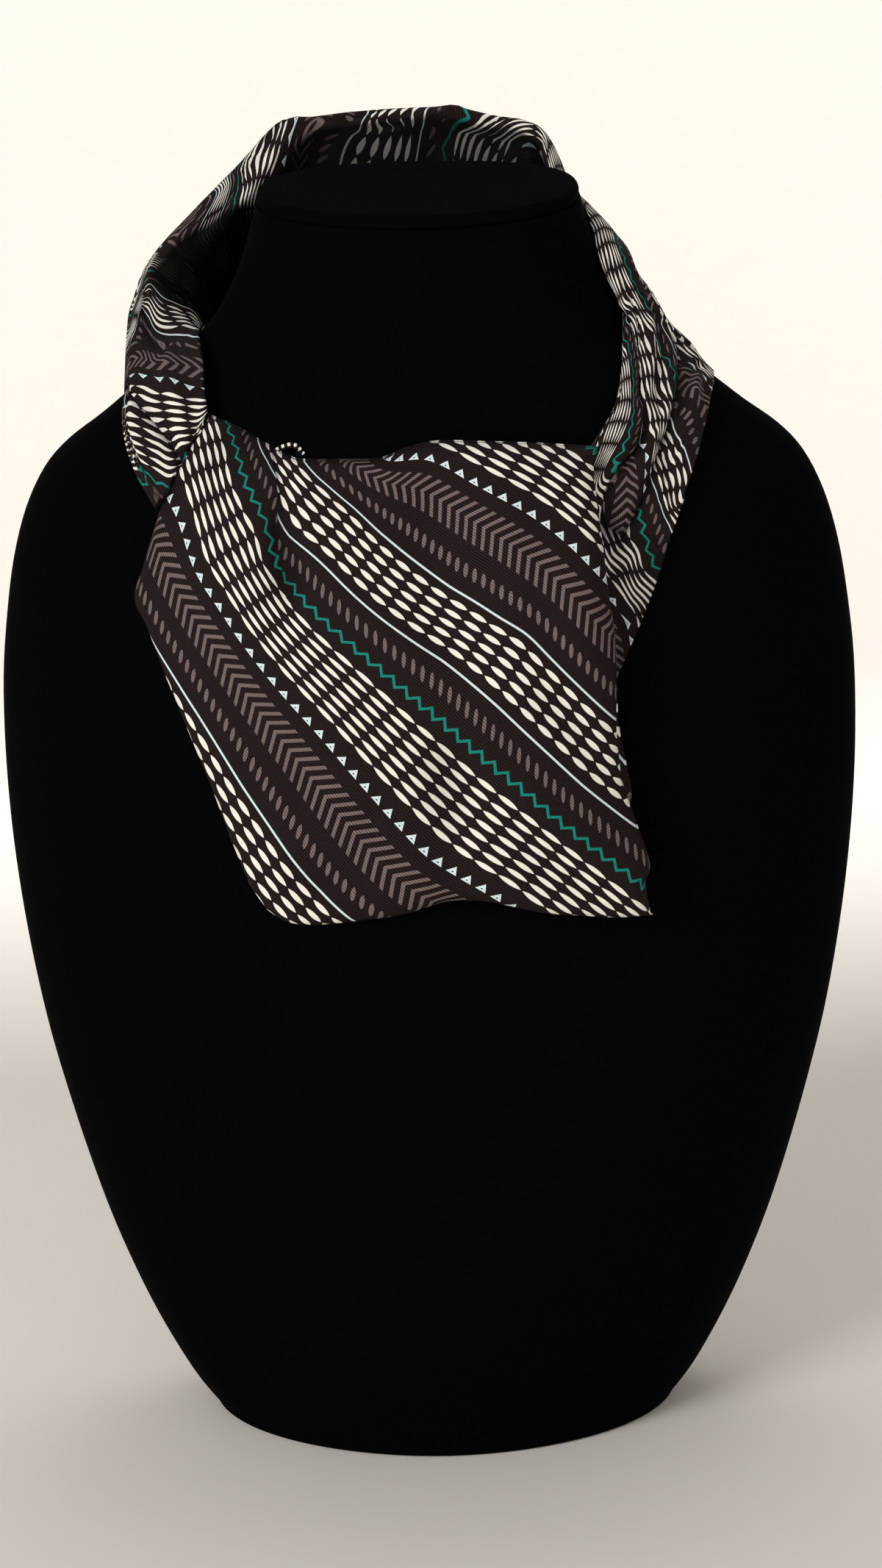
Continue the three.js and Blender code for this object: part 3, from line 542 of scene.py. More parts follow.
def pleat_fields(x, z, scale, pleats):
    """At places of a chart, the cloth that pleats hide, the way past a pleat and the height lost."""
    hidden, height = np.zeros_like(x), np.zeros_like(x)
    past = np.full_like(x, -PLEAT_REACH)
    for side, run, rows in pleats:
        at, line, cloth = np.array(rows, float).T
        at, line = at * scale[0], line * scale[1]
        steep = np.interp(x, at, np.gradient(line, at))
        off = side * (z - np.interp(x, at, line)) / np.hypot(1, steep)
        within = (x >= at[0]) & (x <= at[-1])
        amount = np.interp(x, at, cloth) * within
        clear = np.where(within, np.clip(off, -PLEAT_REACH, PLEAT_REACH), -PLEAT_REACH)
        kept = amount * np.exp(-np.maximum(off, 0) / run)
        hidden = np.where((clear >= past) & within, kept, hidden)
        past = np.maximum(past, clear)
        strength = np.minimum(amount / PLEAT_FULL, 1)
        groove = PLEAT_GROOVE[1] * np.exp(-((off / PLEAT_GROOVE[0]) ** 2))
        drop = PLEAT_DROP[1] * np.exp(-((off / PLEAT_DROP[0]) ** 2))
        height -= strength * (groove + drop * smooth_step(off, -PLEAT_EDGE, PLEAT_EDGE))
    return hidden, past, height


def cloth_hidden(spots, scale, pleats):
    """The cloth that pleats hide before each of a few places of a chart."""
    hidden, past, _ = pleat_fields(*np.array(spots).T, scale, pleats)
    return hidden * (past > 0)


def band_face(stations, across):
    """The band's outer face before its folds, a row of points for each station."""
    foot, lip, rim, hem = np.moveaxis(smooth_rows(WOUND_BAND, stations), 1, 0)
    starts, full, fades, ends = BULGE_STATIONS
    bulge = BULGE * smooth_step(stations, starts, full) * (1 - smooth_step(stations, fades, ends))
    belly = (rim + hem) / 2
    away = belly * (1, 1, 0)
    away /= np.linalg.norm(away, axis=1, keepdims=True)
    belly = belly + away * bulge[:, None]
    drop = np.linalg.norm(rim - hem, axis=1, keepdims=True)
    roll = RIM_ROLL * np.minimum(1, drop / RIM_ROLL_FULL_DROP)
    turn = rim + (belly - rim) * RIM_ROLL_SHARE + away * roll
    return curve_through(np.stack([foot, lip, rim, turn, belly, hem], axis=1), across)


def grid_normals(face, closed=False):
    """The way out of each point of a grid, from its neighbours."""
    along = np.gradient(face, axis=0)
    if closed:
        across = (np.roll(face, -1, axis=1) - np.roll(face, 1, axis=1)) / 2
    else:
        across = np.gradient(face, axis=1)
    normals = np.cross(along, across)
    return normals / np.maximum(np.linalg.norm(normals, axis=2, keepdims=True), 1e-9)


def tube_of_cloth(name, front, back, wall, finish, fields):
    """A flat tube: the front layer, the back layer and the folds between them, as a thin wall."""

    def side_fold(edge, inner):
        """The line where the tube folds over, a little outside one edge of both layers."""
        front_edge, back_edge = front[:, edge, None], back[:, edge, None]
        out = front_edge - front[:, inner, None]
        out /= np.linalg.norm(out, axis=2, keepdims=True)
        thick = np.linalg.norm(front_edge - back_edge, axis=2, keepdims=True)
        return (front_edge + back_edge) / 2 + out * thick * SIDE_FOLD

    left, right = side_fold(0, 1), side_fold(-1, -2)
    loop = np.concatenate([front, right, back[:, ::-1], left], axis=1)
    inside = loop - grid_normals(loop, closed=True) * wall
    rows, around = loop.shape[:2]
    faces = [quad[::-1] for quad in ring_faces(rows, around)]
    shift = rows * around
    faces += [tuple(shift + i for i in quad[::-1]) for quad in faces]
    top = (rows - 1) * around
    for step in range(around):
        beside = (step + 1) % around
        faces.append((step, beside, shift + beside, shift + step))
        faces.append((top + beside, top + step, shift + top + step, shift + top + beside))
    points = np.concatenate([loop.reshape(-1, 3), inside.reshape(-1, 3)])
    made = mesh_object(name, points, faces, finish)
    blank = np.zeros(front.shape[:2])
    for label, field in {"hidden": blank, "past": blank, "painted_shade": blank, **fields}.items():
        ring = np.concatenate([field, field[:, -1:], field[:, ::-1], field[:, :1]], axis=1)
        values = made.data.attributes.new(label, "FLOAT", "POINT")
        values.data.foreach_set("value", np.tile(ring.ravel(), 2).astype(np.float32))
    return made


def sight_line(pixel):
    """The way that the camera looks through a pixel of the photo."""
    right = (pixel[0] - PHOTO_SIZE[0] / 2) / FOCAL_PIXELS
    up = (PHOTO_SIZE[1] / 2 - pixel[1]) / FOCAL_PIXELS
    return look + camera_right * right + camera_up * up


def print_readings(face, chart, readings):
    """Where on a face's chart the camera sees the pixels read, and the print's place at each."""
    rows, columns = face.shape[:2]
    corners = [i * columns + j for i in range(rows - 1) for j in range(columns - 1)]
    quads = [(c, c + columns, c + columns + 1, c + 1) for c in corners]
    tree = BVHTree.FromPolygons(face.reshape(-1, 3).tolist(), quads)
    spots, amounts = [], []
    for amount, pixels in readings:
        for pixel in pixels:
            place, _, quad, _ = tree.ray_cast(Vector(EYE), Vector(sight_line(pixel)))
            if place is None:
                continue
            i, j = divmod(quad, columns - 1)
            down, beside = face[i + 1, j] - face[i, j], face[i, j + 1] - face[i, j]
            off = np.array(place) - face[i, j]
            spot = chart[i, j] + (chart[i + 1, j] - chart[i, j]) * (off @ down / (down @ down))
            spot = spot + (chart[i, j + 1] - chart[i, j]) * (off @ beside / (beside @ beside))
            spots.append(spot)
            amounts.append(amount)
    return spots, amounts


def smooth_field(places, values, chart, slack):
    """A smooth thin-plate field over a chart, through values at some of its places."""
    places, values = np.array(places), np.array(values, float)

    def bend(distance):
        return distance**2 * np.log(np.maximum(distance, 1e-6))

    count = len(places)
    between = np.linalg.norm(places[:, None] - places[None], axis=2)
    flat = np.column_stack([np.ones(count), places])
    system = np.zeros((count + 3, count + 3))
    system[:count, :count] = bend(between) + slack * np.eye(count)
    system[:count, count:] = flat
    system[count:, :count] = flat.T
    weights = np.linalg.solve(system, np.concatenate([values, np.zeros(3)]))
    spots = chart.reshape(-1, 2)
    field = weights[count] + spots @ weights[count + 1 :]
    for place, weight in zip(places, weights):
        field += weight * bend(np.linalg.norm(spots - place, axis=1))
    return field.reshape(chart.shape[:2])


def along_stripes(face, stripe, rounds):
    """A length along the stripes at each point of a face, square to them wherever it can be."""
    down, beside = np.gradient(face, axis=0), np.gradient(face, axis=1)
    rise_down, rise_beside = np.gradient(stripe)
    long, skew, wide = (down * down).sum(2), (down * beside).sum(2), (beside * beside).sum(2)
    area = np.maximum(long * wide - skew * skew, 1e-9)
    part_down = (rise_down * wide - rise_beside * skew) / area
    part_beside = (rise_beside * long - rise_down * skew) / area
    slope = down * part_down[..., None] + beside * part_beside[..., None]
    course = np.cross(slope, grid_normals(face))
    course /= np.maximum(np.linalg.norm(course, axis=2, keepdims=True), 1e-9)
    middle = (course[1:] + course[:-1]) / 2, (course[:, 1:] + course[:, :-1]) / 2
    want = [(middle[axis] * np.diff(face, axis=axis)).sum(2) for axis in (0, 1)]

    def gathered(steps_down, steps_beside):
        total = np.zeros(face.shape[:2])
        total[1:] += steps_down
        total[:-1] -= steps_down
        total[:, 1:] += steps_beside
        total[:, :-1] -= steps_beside
        return total

    length = np.zeros(face.shape[:2])
    left_over = gathered(*want)
    push = left_over.copy()
    size = (left_over**2).sum()
    for turn in range(rounds):
        moved = gathered(np.diff(push, axis=0), np.diff(push, axis=1))
        step = size / max((push * moved).sum(), 1e-12)
        length += step * push
        left_over = left_over - step * moved
        new_size = (left_over**2).sum()
        push = left_over + push * (new_size / max(size, 1e-12))
        size = new_size
    return length


# The print on the band. Each row is a place of the print across its stripes, in millimetres of
# cloth, and the pixels of the photo where it shows. The repeat's first pin line is at 0.
BAND_PRINT = (
    (-29, ((208, 394), (230, 410), (254, 419), (268, 428))),
    (0, ((193, 424), (211, 447), (228, 455), (250, 456), (264, 459))),
    (8.5, ((194, 460), (214, 466), (238, 467), (257, 470))),
    (24.7, ((192, 487), (208, 494), (230, 493), (248, 495), (266, 501))),
    (38.5, ((189, 509), (207, 512), (223, 514), (242, 519), (260, 526))),
    (46.4, ((192, 526), (216, 536), (242, 540), (268, 543), (182, 549), (190, 557))),
    (54.2, ((202, 556), (224, 558), (250, 561), (270, 563), (194, 582), (210, 592), (226, 601))),
    (62, ((222, 582), (248, 583), (200, 609), (216, 617), (230, 626))),
    (69.8, ((244, 603), (200, 632), (212, 639), (226, 649))),
    (76.7, ((206, 650), (217, 659))),
    (-53, ((190, 395), (180, 415))),
    (-85, ((214, 339), (225, 341))),
    (-98, ((248, 310), (262, 292))),
    (-114, ((287, 270), (286, 281))),
    (-123, ((285, 292), (270, 322))),
    (-138, ((308, 255),)),
    (-169, ((322, 255), (318, 285))),
    (-176, ((329, 238), (333, 262))),
    (-187.5, ((350, 225), (345, 262), (362, 205))),
    (-199, ((371, 232), (380, 206), (354, 278))),
    (-245.6, ((497, 160), (489, 178), (470, 196))),
    (-259, ((520, 165), (535, 172))),
    (-291.7, ((633, 150), (640, 158))),
    (-299, ((652, 165), (630, 178))),
    (-310.5, ((676, 178), (655, 195), (700, 165))),
    (-322, ((692, 198), (712, 182))),
    (-330, ((705, 204), (716, 195))),
    (-321, ((873, 505),)),
    (-310.5, ((850, 410), (865, 430), (878, 465), (889, 521), (903, 565))),
    (-299.5, ((866, 402), (880, 428), (893, 462), (900, 490))),
    (-291.7, ((905, 487), (916, 502))),
    (-282.7, ((897, 450), (904, 470))),
    (-329.6, ((879, 610), (879, 640), (879, 662))),
    (-336.6, ((867, 645), (869, 670), (866, 690))),
    (-343.9, ((853, 645), (853, 680), (853, 705))),
    (-351.2, ((836, 655), (835, 685))),
    (-343.9, ((926, 505), (942, 527), (957, 548))),
    (-360, ((930, 560), (940, 585))),
    (-368.4, ((917, 582), (926, 600), (933, 612))),
    (-382, ((905, 630), (917, 660), (921, 690))),
    (-397.4, ((889, 660), (898, 683), (911, 712))),
    (-405.5, ((885, 686), (895, 712), (902, 735))),
    (-414.5, ((873, 704), (876, 722), (883, 742), (893, 770))),
    (-421.6, ((858, 735), (874, 768))),
    (-433, ((836, 752), (855, 768), (866, 800))),
    (-445, ((828, 780), (850, 812))),
    (-452.4, ((830, 810), (844, 828), (855, 846))),
    (-397.4, ((855, 440), (865, 471), (871, 545), (873, 585))),
    (-405.5, ((859, 465), (865, 597))),
    (-414.5, ((853, 462), (862, 520), (863, 560), (858, 590), (844, 618), (833, 640))),
    (-433, ((848, 530), (840, 575), (833, 600))),
)
# The same for what the photo doesn't show: the print's place, the station and the place across
BAND_PRINT_HIDDEN = (
    (-20, 5, 3), (-60, 6.5, 3.4), (-105, 8, 3.2), (-150, 9, 3.6), (-190, 10, 3.4), (-225, 11.2, 3.6),
    (-250, 12.6, 3.4), (-272, 14, 3.8), (-290, 15.6, 3.6), (-278, 18, 3.5), (-283, 20.5, 3.3),
    (-310, 18, 2), (-330, 18, 0.9), (-310, 20, 2), (-324, 20, 1.1), (-309, 22.3, 2.2),
    (-285, 22.6, 3.3), (-252, 20, 4.6), (-262, 22, 4.1), (-245, 17.6, 4.8), (-46, 6.6, 2),
    (-66, 6.4, 2.6), (40, 2.6, 3.2), (70, 1, 3.4), (20, 3.6, 4.6), (-130, 8.6, 4.8), (-215, 11, 4.8),
    (-262, 13.6, 4.8),
)
# How softly the fitted print follows the readings, and the steps that settle the length along it
BAND_SLACK = 4.0
PRINT_ROUNDS = 700
# The chart's millimetres for each station and for each place across
BAND_CHART = (13.0, 18.0)

across = np.concatenate(
    [span + np.arange(steps) / steps for span, steps in enumerate(BAND_SPAN_STEPS)]
    + [[len(BAND_SPAN_STEPS)]]
)
stations = np.concatenate(
    [np.linspace(first, last, rows, endpoint=False) for first, last, rows in BAND_STRETCHES]
    + [[BAND_STRETCHES[-1][1]]]
)
bare = band_face(stations, across)
at_station, at_across = np.meshgrid(stations, across, indexing="ij")
band_chart = np.stack([at_station, at_across], axis=-1) * BAND_CHART
chart_along, chart_over = np.moveaxis(band_chart, -1, 0)
height = np.zeros_like(at_station)
for place, width, depth, first, last in BAND_FOLDS:
    run = np.clip((at_station - first) / (last - first), 0, 1)
    height += depth * np.sqrt(np.sin(math.pi * run)) * np.exp(-(((at_across - place) / width) ** 2))
creases = [
    (width, rise, *(np.array(points) * BAND_CHART)) for width, rise, *points in BAND_CREASES
]
height += crease_height(chart_along, chart_over, creases)
band_hidden, band_past, dropped = pleat_fields(chart_along, chart_over, BAND_CHART, BAND_PLEATS)
height += dropped
# Painted shade: the colour darkened below the line by the neck and at the bottoms of folds
along_neck, line, darkness = np.array(PAINTED_SHADE_LINE).T
start_line = np.interp(at_across, *np.array(PAINTED_SHADE_START).T)
below = smooth_step(np.interp(at_station, along_neck, line) - at_across, -PAINTED_SHADE_EDGE, PAINTED_SHADE_EDGE)
begun = smooth_step(at_station - start_line, -PAINTED_SHADE_EDGE, PAINTED_SHADE_EDGE)
unlit = np.interp(at_station, along_neck, darkness) * below * begun
band_painted_shade = np.maximum(unlit, trough_shade(height))
band_front = bare + grid_normals(bare) * height[..., None]
band_gap = BUST_GAP + BAND_CLOTH * smooth_step(at_across, *BUST_GAP_WIDENS)
band_front = clear_of_bust(band_front, band_gap)
band_back = band_front - grid_normals(band_front) * BAND_CLOTH

spots, amounts = print_readings(band_front, band_chart, BAND_PRINT)
for amount, *place in BAND_PRINT_HIDDEN:
    spots.append(np.array(place) * BAND_CHART)
    amounts.append(amount)
amounts = np.array(amounts) + cloth_hidden(spots, BAND_CHART, BAND_PLEATS)
band_stripe = smooth_field(spots, amounts, band_chart, BAND_SLACK)
band_course = along_stripes(band_front, band_stripe, PRINT_ROUNDS)

# Printed twill: a light, fine-ribbed twill with a near-black ground, printed in straight courses
# of grains, triangles, herringbone, dashes, pin lines and a teal zigzag. The ribs run with the
# courses and take the ink unevenly. All sizes of the print are in millimetres of cloth.
# Painted shade darkens the twill's colour in fold bottoms, beside pleats and by the neck.
REPEAT = 122.8
SOFT = 0.14
# Powers that narrow a dash and a grain towards their ends
DASH_POINT = 3.0
GRAIN_POINT = 2.2
# Half of the zigzag's stroke, measured straight across the stripes, as a share of the stroke
ZIGZAG_HALF_STROKE = 0.72
# The triangles' open heart: its wall as a share of the base, and its foot as a share of the height
HEART_WALL = 0.29
HEART_FOOT = 0.2


class Sums:
    """Short calls for the math nodes of one shader tree."""

    def __init__(self, tree):
        self.tree = tree

    def __call__(self, operation, *values):
        """One sum's result, its inputs set to numbers or linked to other outputs."""
        made = self.tree.nodes.new("ShaderNodeMath")
        made.operation = operation
        for socket, value in zip(made.inputs, values):
            if isinstance(value, (int, float)):
                socket.default_value = value
            else:
                self.tree.links.new(value, socket)
        return made.outputs[0]

    def inside(self, distance, edge):
        """1 where a distance is under an edge, with a soft border."""
        made = self.tree.nodes.new("ShaderNodeMapRange")
        made.interpolation_type = "SMOOTHSTEP"
        gap = self("SUBTRACT", distance, edge)
        self.tree.links.new(gap, made.inputs["Value"])
        made.inputs["From Min"].default_value = -SOFT
        made.inputs["From Max"].default_value = SOFT
        made.inputs["To Min"].default_value = 1.0
        made.inputs["To Max"].default_value = 0.0
        return made.outputs["Result"]

    def within_pitch(self, length, pitch):
        """A length folded into one pitch, from minus half a pitch to plus half."""
        turns = self("DIVIDE", length, pitch)
        share = self("SUBTRACT", turns, self("ROUND", turns))
        return self("MULTIPLY", share, pitch)


def shader_group(name, inputs, outputs):
    """An empty shader group with named sockets, its sums, and its input and output nodes."""
    tree = bpy.data.node_groups.new(name, "ShaderNodeTree")
    for label in inputs:
        tree.interface.new_socket(label, in_out="INPUT", socket_type="NodeSocketFloat")
    for label, kind in outputs.items():
        tree.interface.new_socket(label, in_out="OUTPUT", socket_type=kind)
    entry = tree.nodes.new("NodeGroupInput")
    leave = tree.nodes.new("NodeGroupOutput")
    return tree, Sums(tree), entry.outputs, leave.inputs


def motif(name, labels, draw):
    """A shader group whose only output is the mask of one motif."""
    tree, calc, given, out = shader_group(name, labels, {"Mask": "NodeSocketFloat"})
    tree.links.new(draw(calc, given), out["Mask"])
    return tree


def draw_pin_line(calc, given):
    """A thin line along the stripes."""
    edge = calc("MULTIPLY", given["Width"], 0.5)
    return calc.inside(calc("ABSOLUTE", given["Across"]), edge)


def draw_dash(calc, given):
    """A row of short upright strokes that lean and narrow to a point at both ends."""
    leaned = calc("ADD", given["Along"], calc("MULTIPLY", given["Across"], given["Lean"]))
    beside = calc("ABSOLUTE", calc.within_pitch(leaned, given["Pitch"]))
    up = calc("DIVIDE", calc("ABSOLUTE", given["Across"]), calc("MULTIPLY", given["Height"], 0.5))
    narrow = calc("SUBTRACT", 1.0, calc("POWER", calc("MINIMUM", up, 1.0), DASH_POINT))
    edge = calc("MULTIPLY", calc("MULTIPLY", given["Width"], 0.5), narrow)
    return calc("MULTIPLY", calc.inside(beside, edge), calc("LESS_THAN", up, 1.0))


def draw_chevron(calc, given):
    """A herringbone row: strokes that fold back at the middle."""
    away = calc("ABSOLUTE", given["Across"])
    bent = calc("SUBTRACT", given["Along"], calc("MULTIPLY", away, given["Slope"]))
    beside = calc("ABSOLUTE", calc.within_pitch(bent, given["Pitch"]))
    stroke = calc.inside(beside, calc("MULTIPLY", given["Stroke"], 0.5))
    return calc("MULTIPLY", stroke, calc.inside(away, calc("MULTIPLY", given["Height"], 0.5)))


def draw_triangle(calc, given):
    """A row of small triangles that stand on their base, with an open heart."""
    beside = calc("ABSOLUTE", calc.within_pitch(given["Along"], given["Pitch"]))
    up = calc("DIVIDE", given["Across"], given["Height"])
    side = calc("MULTIPLY", calc("SUBTRACT", 1.0, up), calc("MULTIPLY", given["Base"], 0.5))
    whole = calc("MULTIPLY", calc.inside(beside, side), calc("GREATER_THAN", up, 0.0))
    wall = calc("MULTIPLY", given["Base"], HEART_WALL)
    heart = calc.inside(beside, calc("SUBTRACT", side, wall))
    open_heart = calc("MULTIPLY", heart, calc("GREATER_THAN", up, HEART_FOOT))
    return calc("MAXIMUM", calc("SUBTRACT", whole, open_heart), 0.0)


def draw_grain(calc, given):
    """Rows of long grains, pointed at both ends, each row shifted a little from the last."""
    row = calc("ROUND", calc("DIVIDE", given["Across"], given["Step"]))
    off = calc("SUBTRACT", given["Across"], calc("MULTIPLY", row, given["Step"]))
    slid = calc("SUBTRACT", given["Along"], calc("MULTIPLY", row, given["Shear"]))
    beside = calc("ABSOLUTE", calc.within_pitch(slid, given["Pitch"]))
    share = calc("DIVIDE", beside, calc("MULTIPLY", given["Length"], 0.5))
    thin = calc("SUBTRACT", 1.0, calc("POWER", calc("MINIMUM", share, 1.0), GRAIN_POINT))
    edge = calc("MULTIPLY", calc("MULTIPLY", given["Width"], 0.5), thin)
    grain = calc("MULTIPLY", calc.inside(calc("ABSOLUTE", off), edge), calc("LESS_THAN", share, 1.0))
    above = calc("GREATER_THAN", row, -0.5)
    below = calc("LESS_THAN", row, calc("SUBTRACT", given["Rows"], 0.5))
    return calc("MULTIPLY", grain, calc("MULTIPLY", above, below))


def draw_zigzag(calc, given):
    """A line that runs up and down once in each pitch."""
    beside = calc("ABSOLUTE", calc.within_pitch(given["Along"], given["Pitch"]))
    share = calc("DIVIDE", beside, given["Pitch"])
    height = calc("MULTIPLY", calc("SUBTRACT", calc("MULTIPLY", share, 2.0), 0.5), given["Peak"])
    off = calc("ABSOLUTE", calc("SUBTRACT", given["Across"], height))
    return calc.inside(off, calc("MULTIPLY", given["Stroke"], ZIGZAG_HALF_STROKE))


pin_line = motif("Pin line", ("Across", "Width"), draw_pin_line)
dash = motif("Slanted dash", ("Across", "Along", "Height", "Width", "Pitch", "Lean"), draw_dash)
chevron = motif("Chevron", ("Across", "Along", "Height", "Pitch", "Stroke", "Slope"), draw_chevron)
triangle = motif("Triangle", ("Across", "Along", "Base", "Height", "Pitch"), draw_triangle)
grain_sizes = ("Rows", "Step", "Length", "Width", "Pitch", "Shear")
grain = motif("Grain", ("Across", "Along", *grain_sizes), draw_grain)
zigzag = motif("Zigzag", ("Across", "Along", "Peak", "Pitch", "Stroke"), draw_zigzag)
# The chart of one repeat. Each row has the ink, the motif, its place across the stripes and sizes.
PRINT_CHART = (
    ("ice", pin_line, 0.0, {"Width": 0.88}),
    ("ice", pin_line, REPEAT, {"Width": 0.88}),
    ("taupe", dash, 8.5, {"Height": 5.0, "Width": 2.0, "Pitch": 4.1, "Lean": 0.6}),
    ("taupe", chevron, 24.7, {"Height": 14.6, "Pitch": 4.1, "Stroke": 1.6, "Slope": 0.62}),
    ("ice", triangle, 37.8, {"Base": 4.2, "Height": 3.1, "Pitch": 6.2}),
    ("cream", grain, 46.4,
     {"Rows": 7, "Step": 3.9, "Length": 9.4, "Width": 1.8, "Pitch": 10.0, "Shear": 0.0}),
    ("teal", zigzag, 76.7, {"Peak": 3.0, "Pitch": 6.2, "Stroke": 1.0}),
    ("taupe", dash, 85.7, {"Height": 5.4, "Width": 1.8, "Pitch": 4.3, "Lean": 0.7}),
    ("ice", pin_line, 93.8, {"Width": 0.88}),
    ("cream", grain, 99.5,
     {"Rows": 5, "Step": 4.65, "Length": 7.9, "Width": 2.2, "Pitch": 8.8, "Shear": -0.5}),
)
# Each ink's colour, and how much it lets the ribs show: most in the taupe, least in the cream
INKS = {
    "ice": ((0.66, 0.76, 0.79, 1), 0.12),
    "taupe": ((0.225, 0.174, 0.164, 1), 0.75),
    "cream": ((0.84, 0.80, 0.73, 1), 0.1),
    "teal": ((0.008, 0.235, 0.185, 1), 0.3),
}
GROUND_DARK = (0.0022, 0.0012, 0.0012, 1)
GROUND_LIGHT = (0.0255, 0.0172, 0.0165, 1)
# The colour that painted shade darkens the twill towards
UNLIT = (0.0008, 0.0007, 0.0007, 1)
# A pleat's painted shadow: its width, how dark it is, and the hidden cloth at which it is full
PLEAT_SHADOW = 2.2
PLEAT_SHADE = 0.9
PLEAT_SHADE_FULL = 10.0
# The ribs and the finer twill across them: pitch, share of the relief, and the twill's slant
RIB_PITCH = 0.95
RIB_SHARE = 0.36
TWILL_PITCH = 0.8
TWILL_SHARE = 0.14
TWILL_SLANT = 0.35
RELIEF_STRENGTH = 0.35
RELIEF_METRES = 0.00012
# The fields that the shader reads; the last is painted shade, from 0 to full
PRINT_FIELDS = ("Stripe", "Course", "Hidden", "Past", "Painted_shade")
TWILL_FINISH = {
    "Roughness": 0.6, "Specular IOR Level": 0.03, "Sheen Weight": 0.004, "Sheen Roughness": 0.4,
}


def print_with_painted_shade():
    """The whole print with painted shade mixed in: its colour, and the height of the ribs."""
    outputs = {"Color": "NodeSocketColor", "Rib": "NodeSocketFloat"}
    tree, calc, given, out = shader_group("Striped print with painted shade", PRINT_FIELDS, outputs)
    course, past = given["Course"], given["Past"]
    # past a pleat's line the print goes on where the fold lets it out again, with the fold's shadow
    # painted in
    beyond = calc("GREATER_THAN", past, 0.0)
    stripe = calc("SUBTRACT", given["Stripe"], calc("MULTIPLY", given["Hidden"], beyond))
    fade = calc("SUBTRACT", 1.0, calc("MINIMUM", calc("DIVIDE", past, PLEAT_SHADOW), 1.0))
    tucked = calc("DIVIDE", calc("ABSOLUTE", given["Hidden"]), PLEAT_SHADE_FULL)
    deep = calc("MINIMUM", tucked, 1.0)
    shadow = calc("MULTIPLY", calc("MULTIPLY", fade, deep), beyond)
    shade = calc("MAXIMUM", calc("MULTIPLY", shadow, PLEAT_SHADE), given["Painted_shade"])
    turns = calc("FLOOR", calc("DIVIDE", stripe, REPEAT))
    place = calc("SUBTRACT", stripe, calc("MULTIPLY", turns, REPEAT))
    rib = calc("SINE", calc("MULTIPLY", stripe, 2 * math.pi / RIB_PITCH))
    slanted = calc("ADD", calc("MULTIPLY", stripe, TWILL_SLANT), course)
    cord = calc("SINE", calc("MULTIPLY", slanted, 2 * math.pi / TWILL_PITCH))
    weave = calc("ADD", calc("MULTIPLY", rib, RIB_SHARE), calc("MULTIPLY", cord, TWILL_SHARE))
    weave = calc("ADD", weave, 0.5)
    masks = {}
    for ink, group, centre, sizes in PRINT_CHART:
        motif = tree.nodes.new("ShaderNodeGroup")
        motif.node_tree = group
        tree.links.new(calc("SUBTRACT", place, centre), motif.inputs["Across"])
        if "Along" in motif.inputs:
            tree.links.new(course, motif.inputs["Along"])
        for label, size in sizes.items():
            motif.inputs[label].default_value = size
        mask = motif.outputs["Mask"]
        masks[ink] = calc("MAXIMUM", masks[ink], mask) if ink in masks else mask

    def mixed(share, low, high):
        """The colour between a low and a high one, each given as values or as an output."""
        made = tree.nodes.new("ShaderNodeMix")
        made.data_type = "RGBA"
        tree.links.new(share, made.inputs["Factor"])
        for label, value in (("A", low), ("B", high)):
            socket = next(s for s in made.inputs if s.name == label and s.type == "RGBA")
            if isinstance(value, tuple):
                socket.default_value = value
            else:
                tree.links.new(value, socket)
        return next(s for s in made.outputs if s.type == "RGBA")

    color = mixed(weave, GROUND_DARK, GROUND_LIGHT)
    for ink, mask in masks.items():
        ink_color, ribs_show = INKS[ink]
        cover = calc("SUBTRACT", 1.0, calc("MULTIPLY", calc("SUBTRACT", 1.0, weave), ribs_show))
        color = mixed(calc("MULTIPLY", mask, cover), color, ink_color)
    # painted shade: the pleats' shadows, the bottoms of folds and the gap by the neck
    color = mixed(shade, color, UNLIT)
    tree.links.new(color, out["Color"])
    tree.links.new(weave, out["Rib"])
    return tree


twill, twill_shader = material("printed_twill", TWILL_FINISH)
twill_tree = twill.node_tree
print_shade_node = twill_tree.nodes.new("ShaderNodeGroup")
print_shade_node.node_tree = print_with_painted_shade()
for label in PRINT_FIELDS:
    field = twill_tree.nodes.new("ShaderNodeAttribute")
    field.attribute_name = label.lower()
    twill_tree.links.new(field.outputs["Fac"], print_shade_node.inputs[label])
twill_tree.links.new(print_shade_node.outputs["Color"], twill_shader.inputs["Base Color"])
relief = twill_tree.nodes.new("ShaderNodeBump")
relief.inputs["Strength"].default_value = RELIEF_STRENGTH
relief.inputs["Distance"].default_value = RELIEF_METRES
twill_tree.links.new(print_shade_node.outputs["Rib"], relief.inputs["Height"])
twill_tree.links.new(relief.outputs["Normal"], twill_shader.inputs["Normal"])

band_fields = {
    "stripe": band_stripe, "course": band_course,
    "hidden": band_hidden, "past": band_past, "painted_shade": band_painted_shade,
}
band = tube_of_cloth("wound_band", band_front, band_back, BAND_WALL, twill, band_fields)
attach(band, "root")
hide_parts("left_stretch", "back_stretch", "right_stretch")

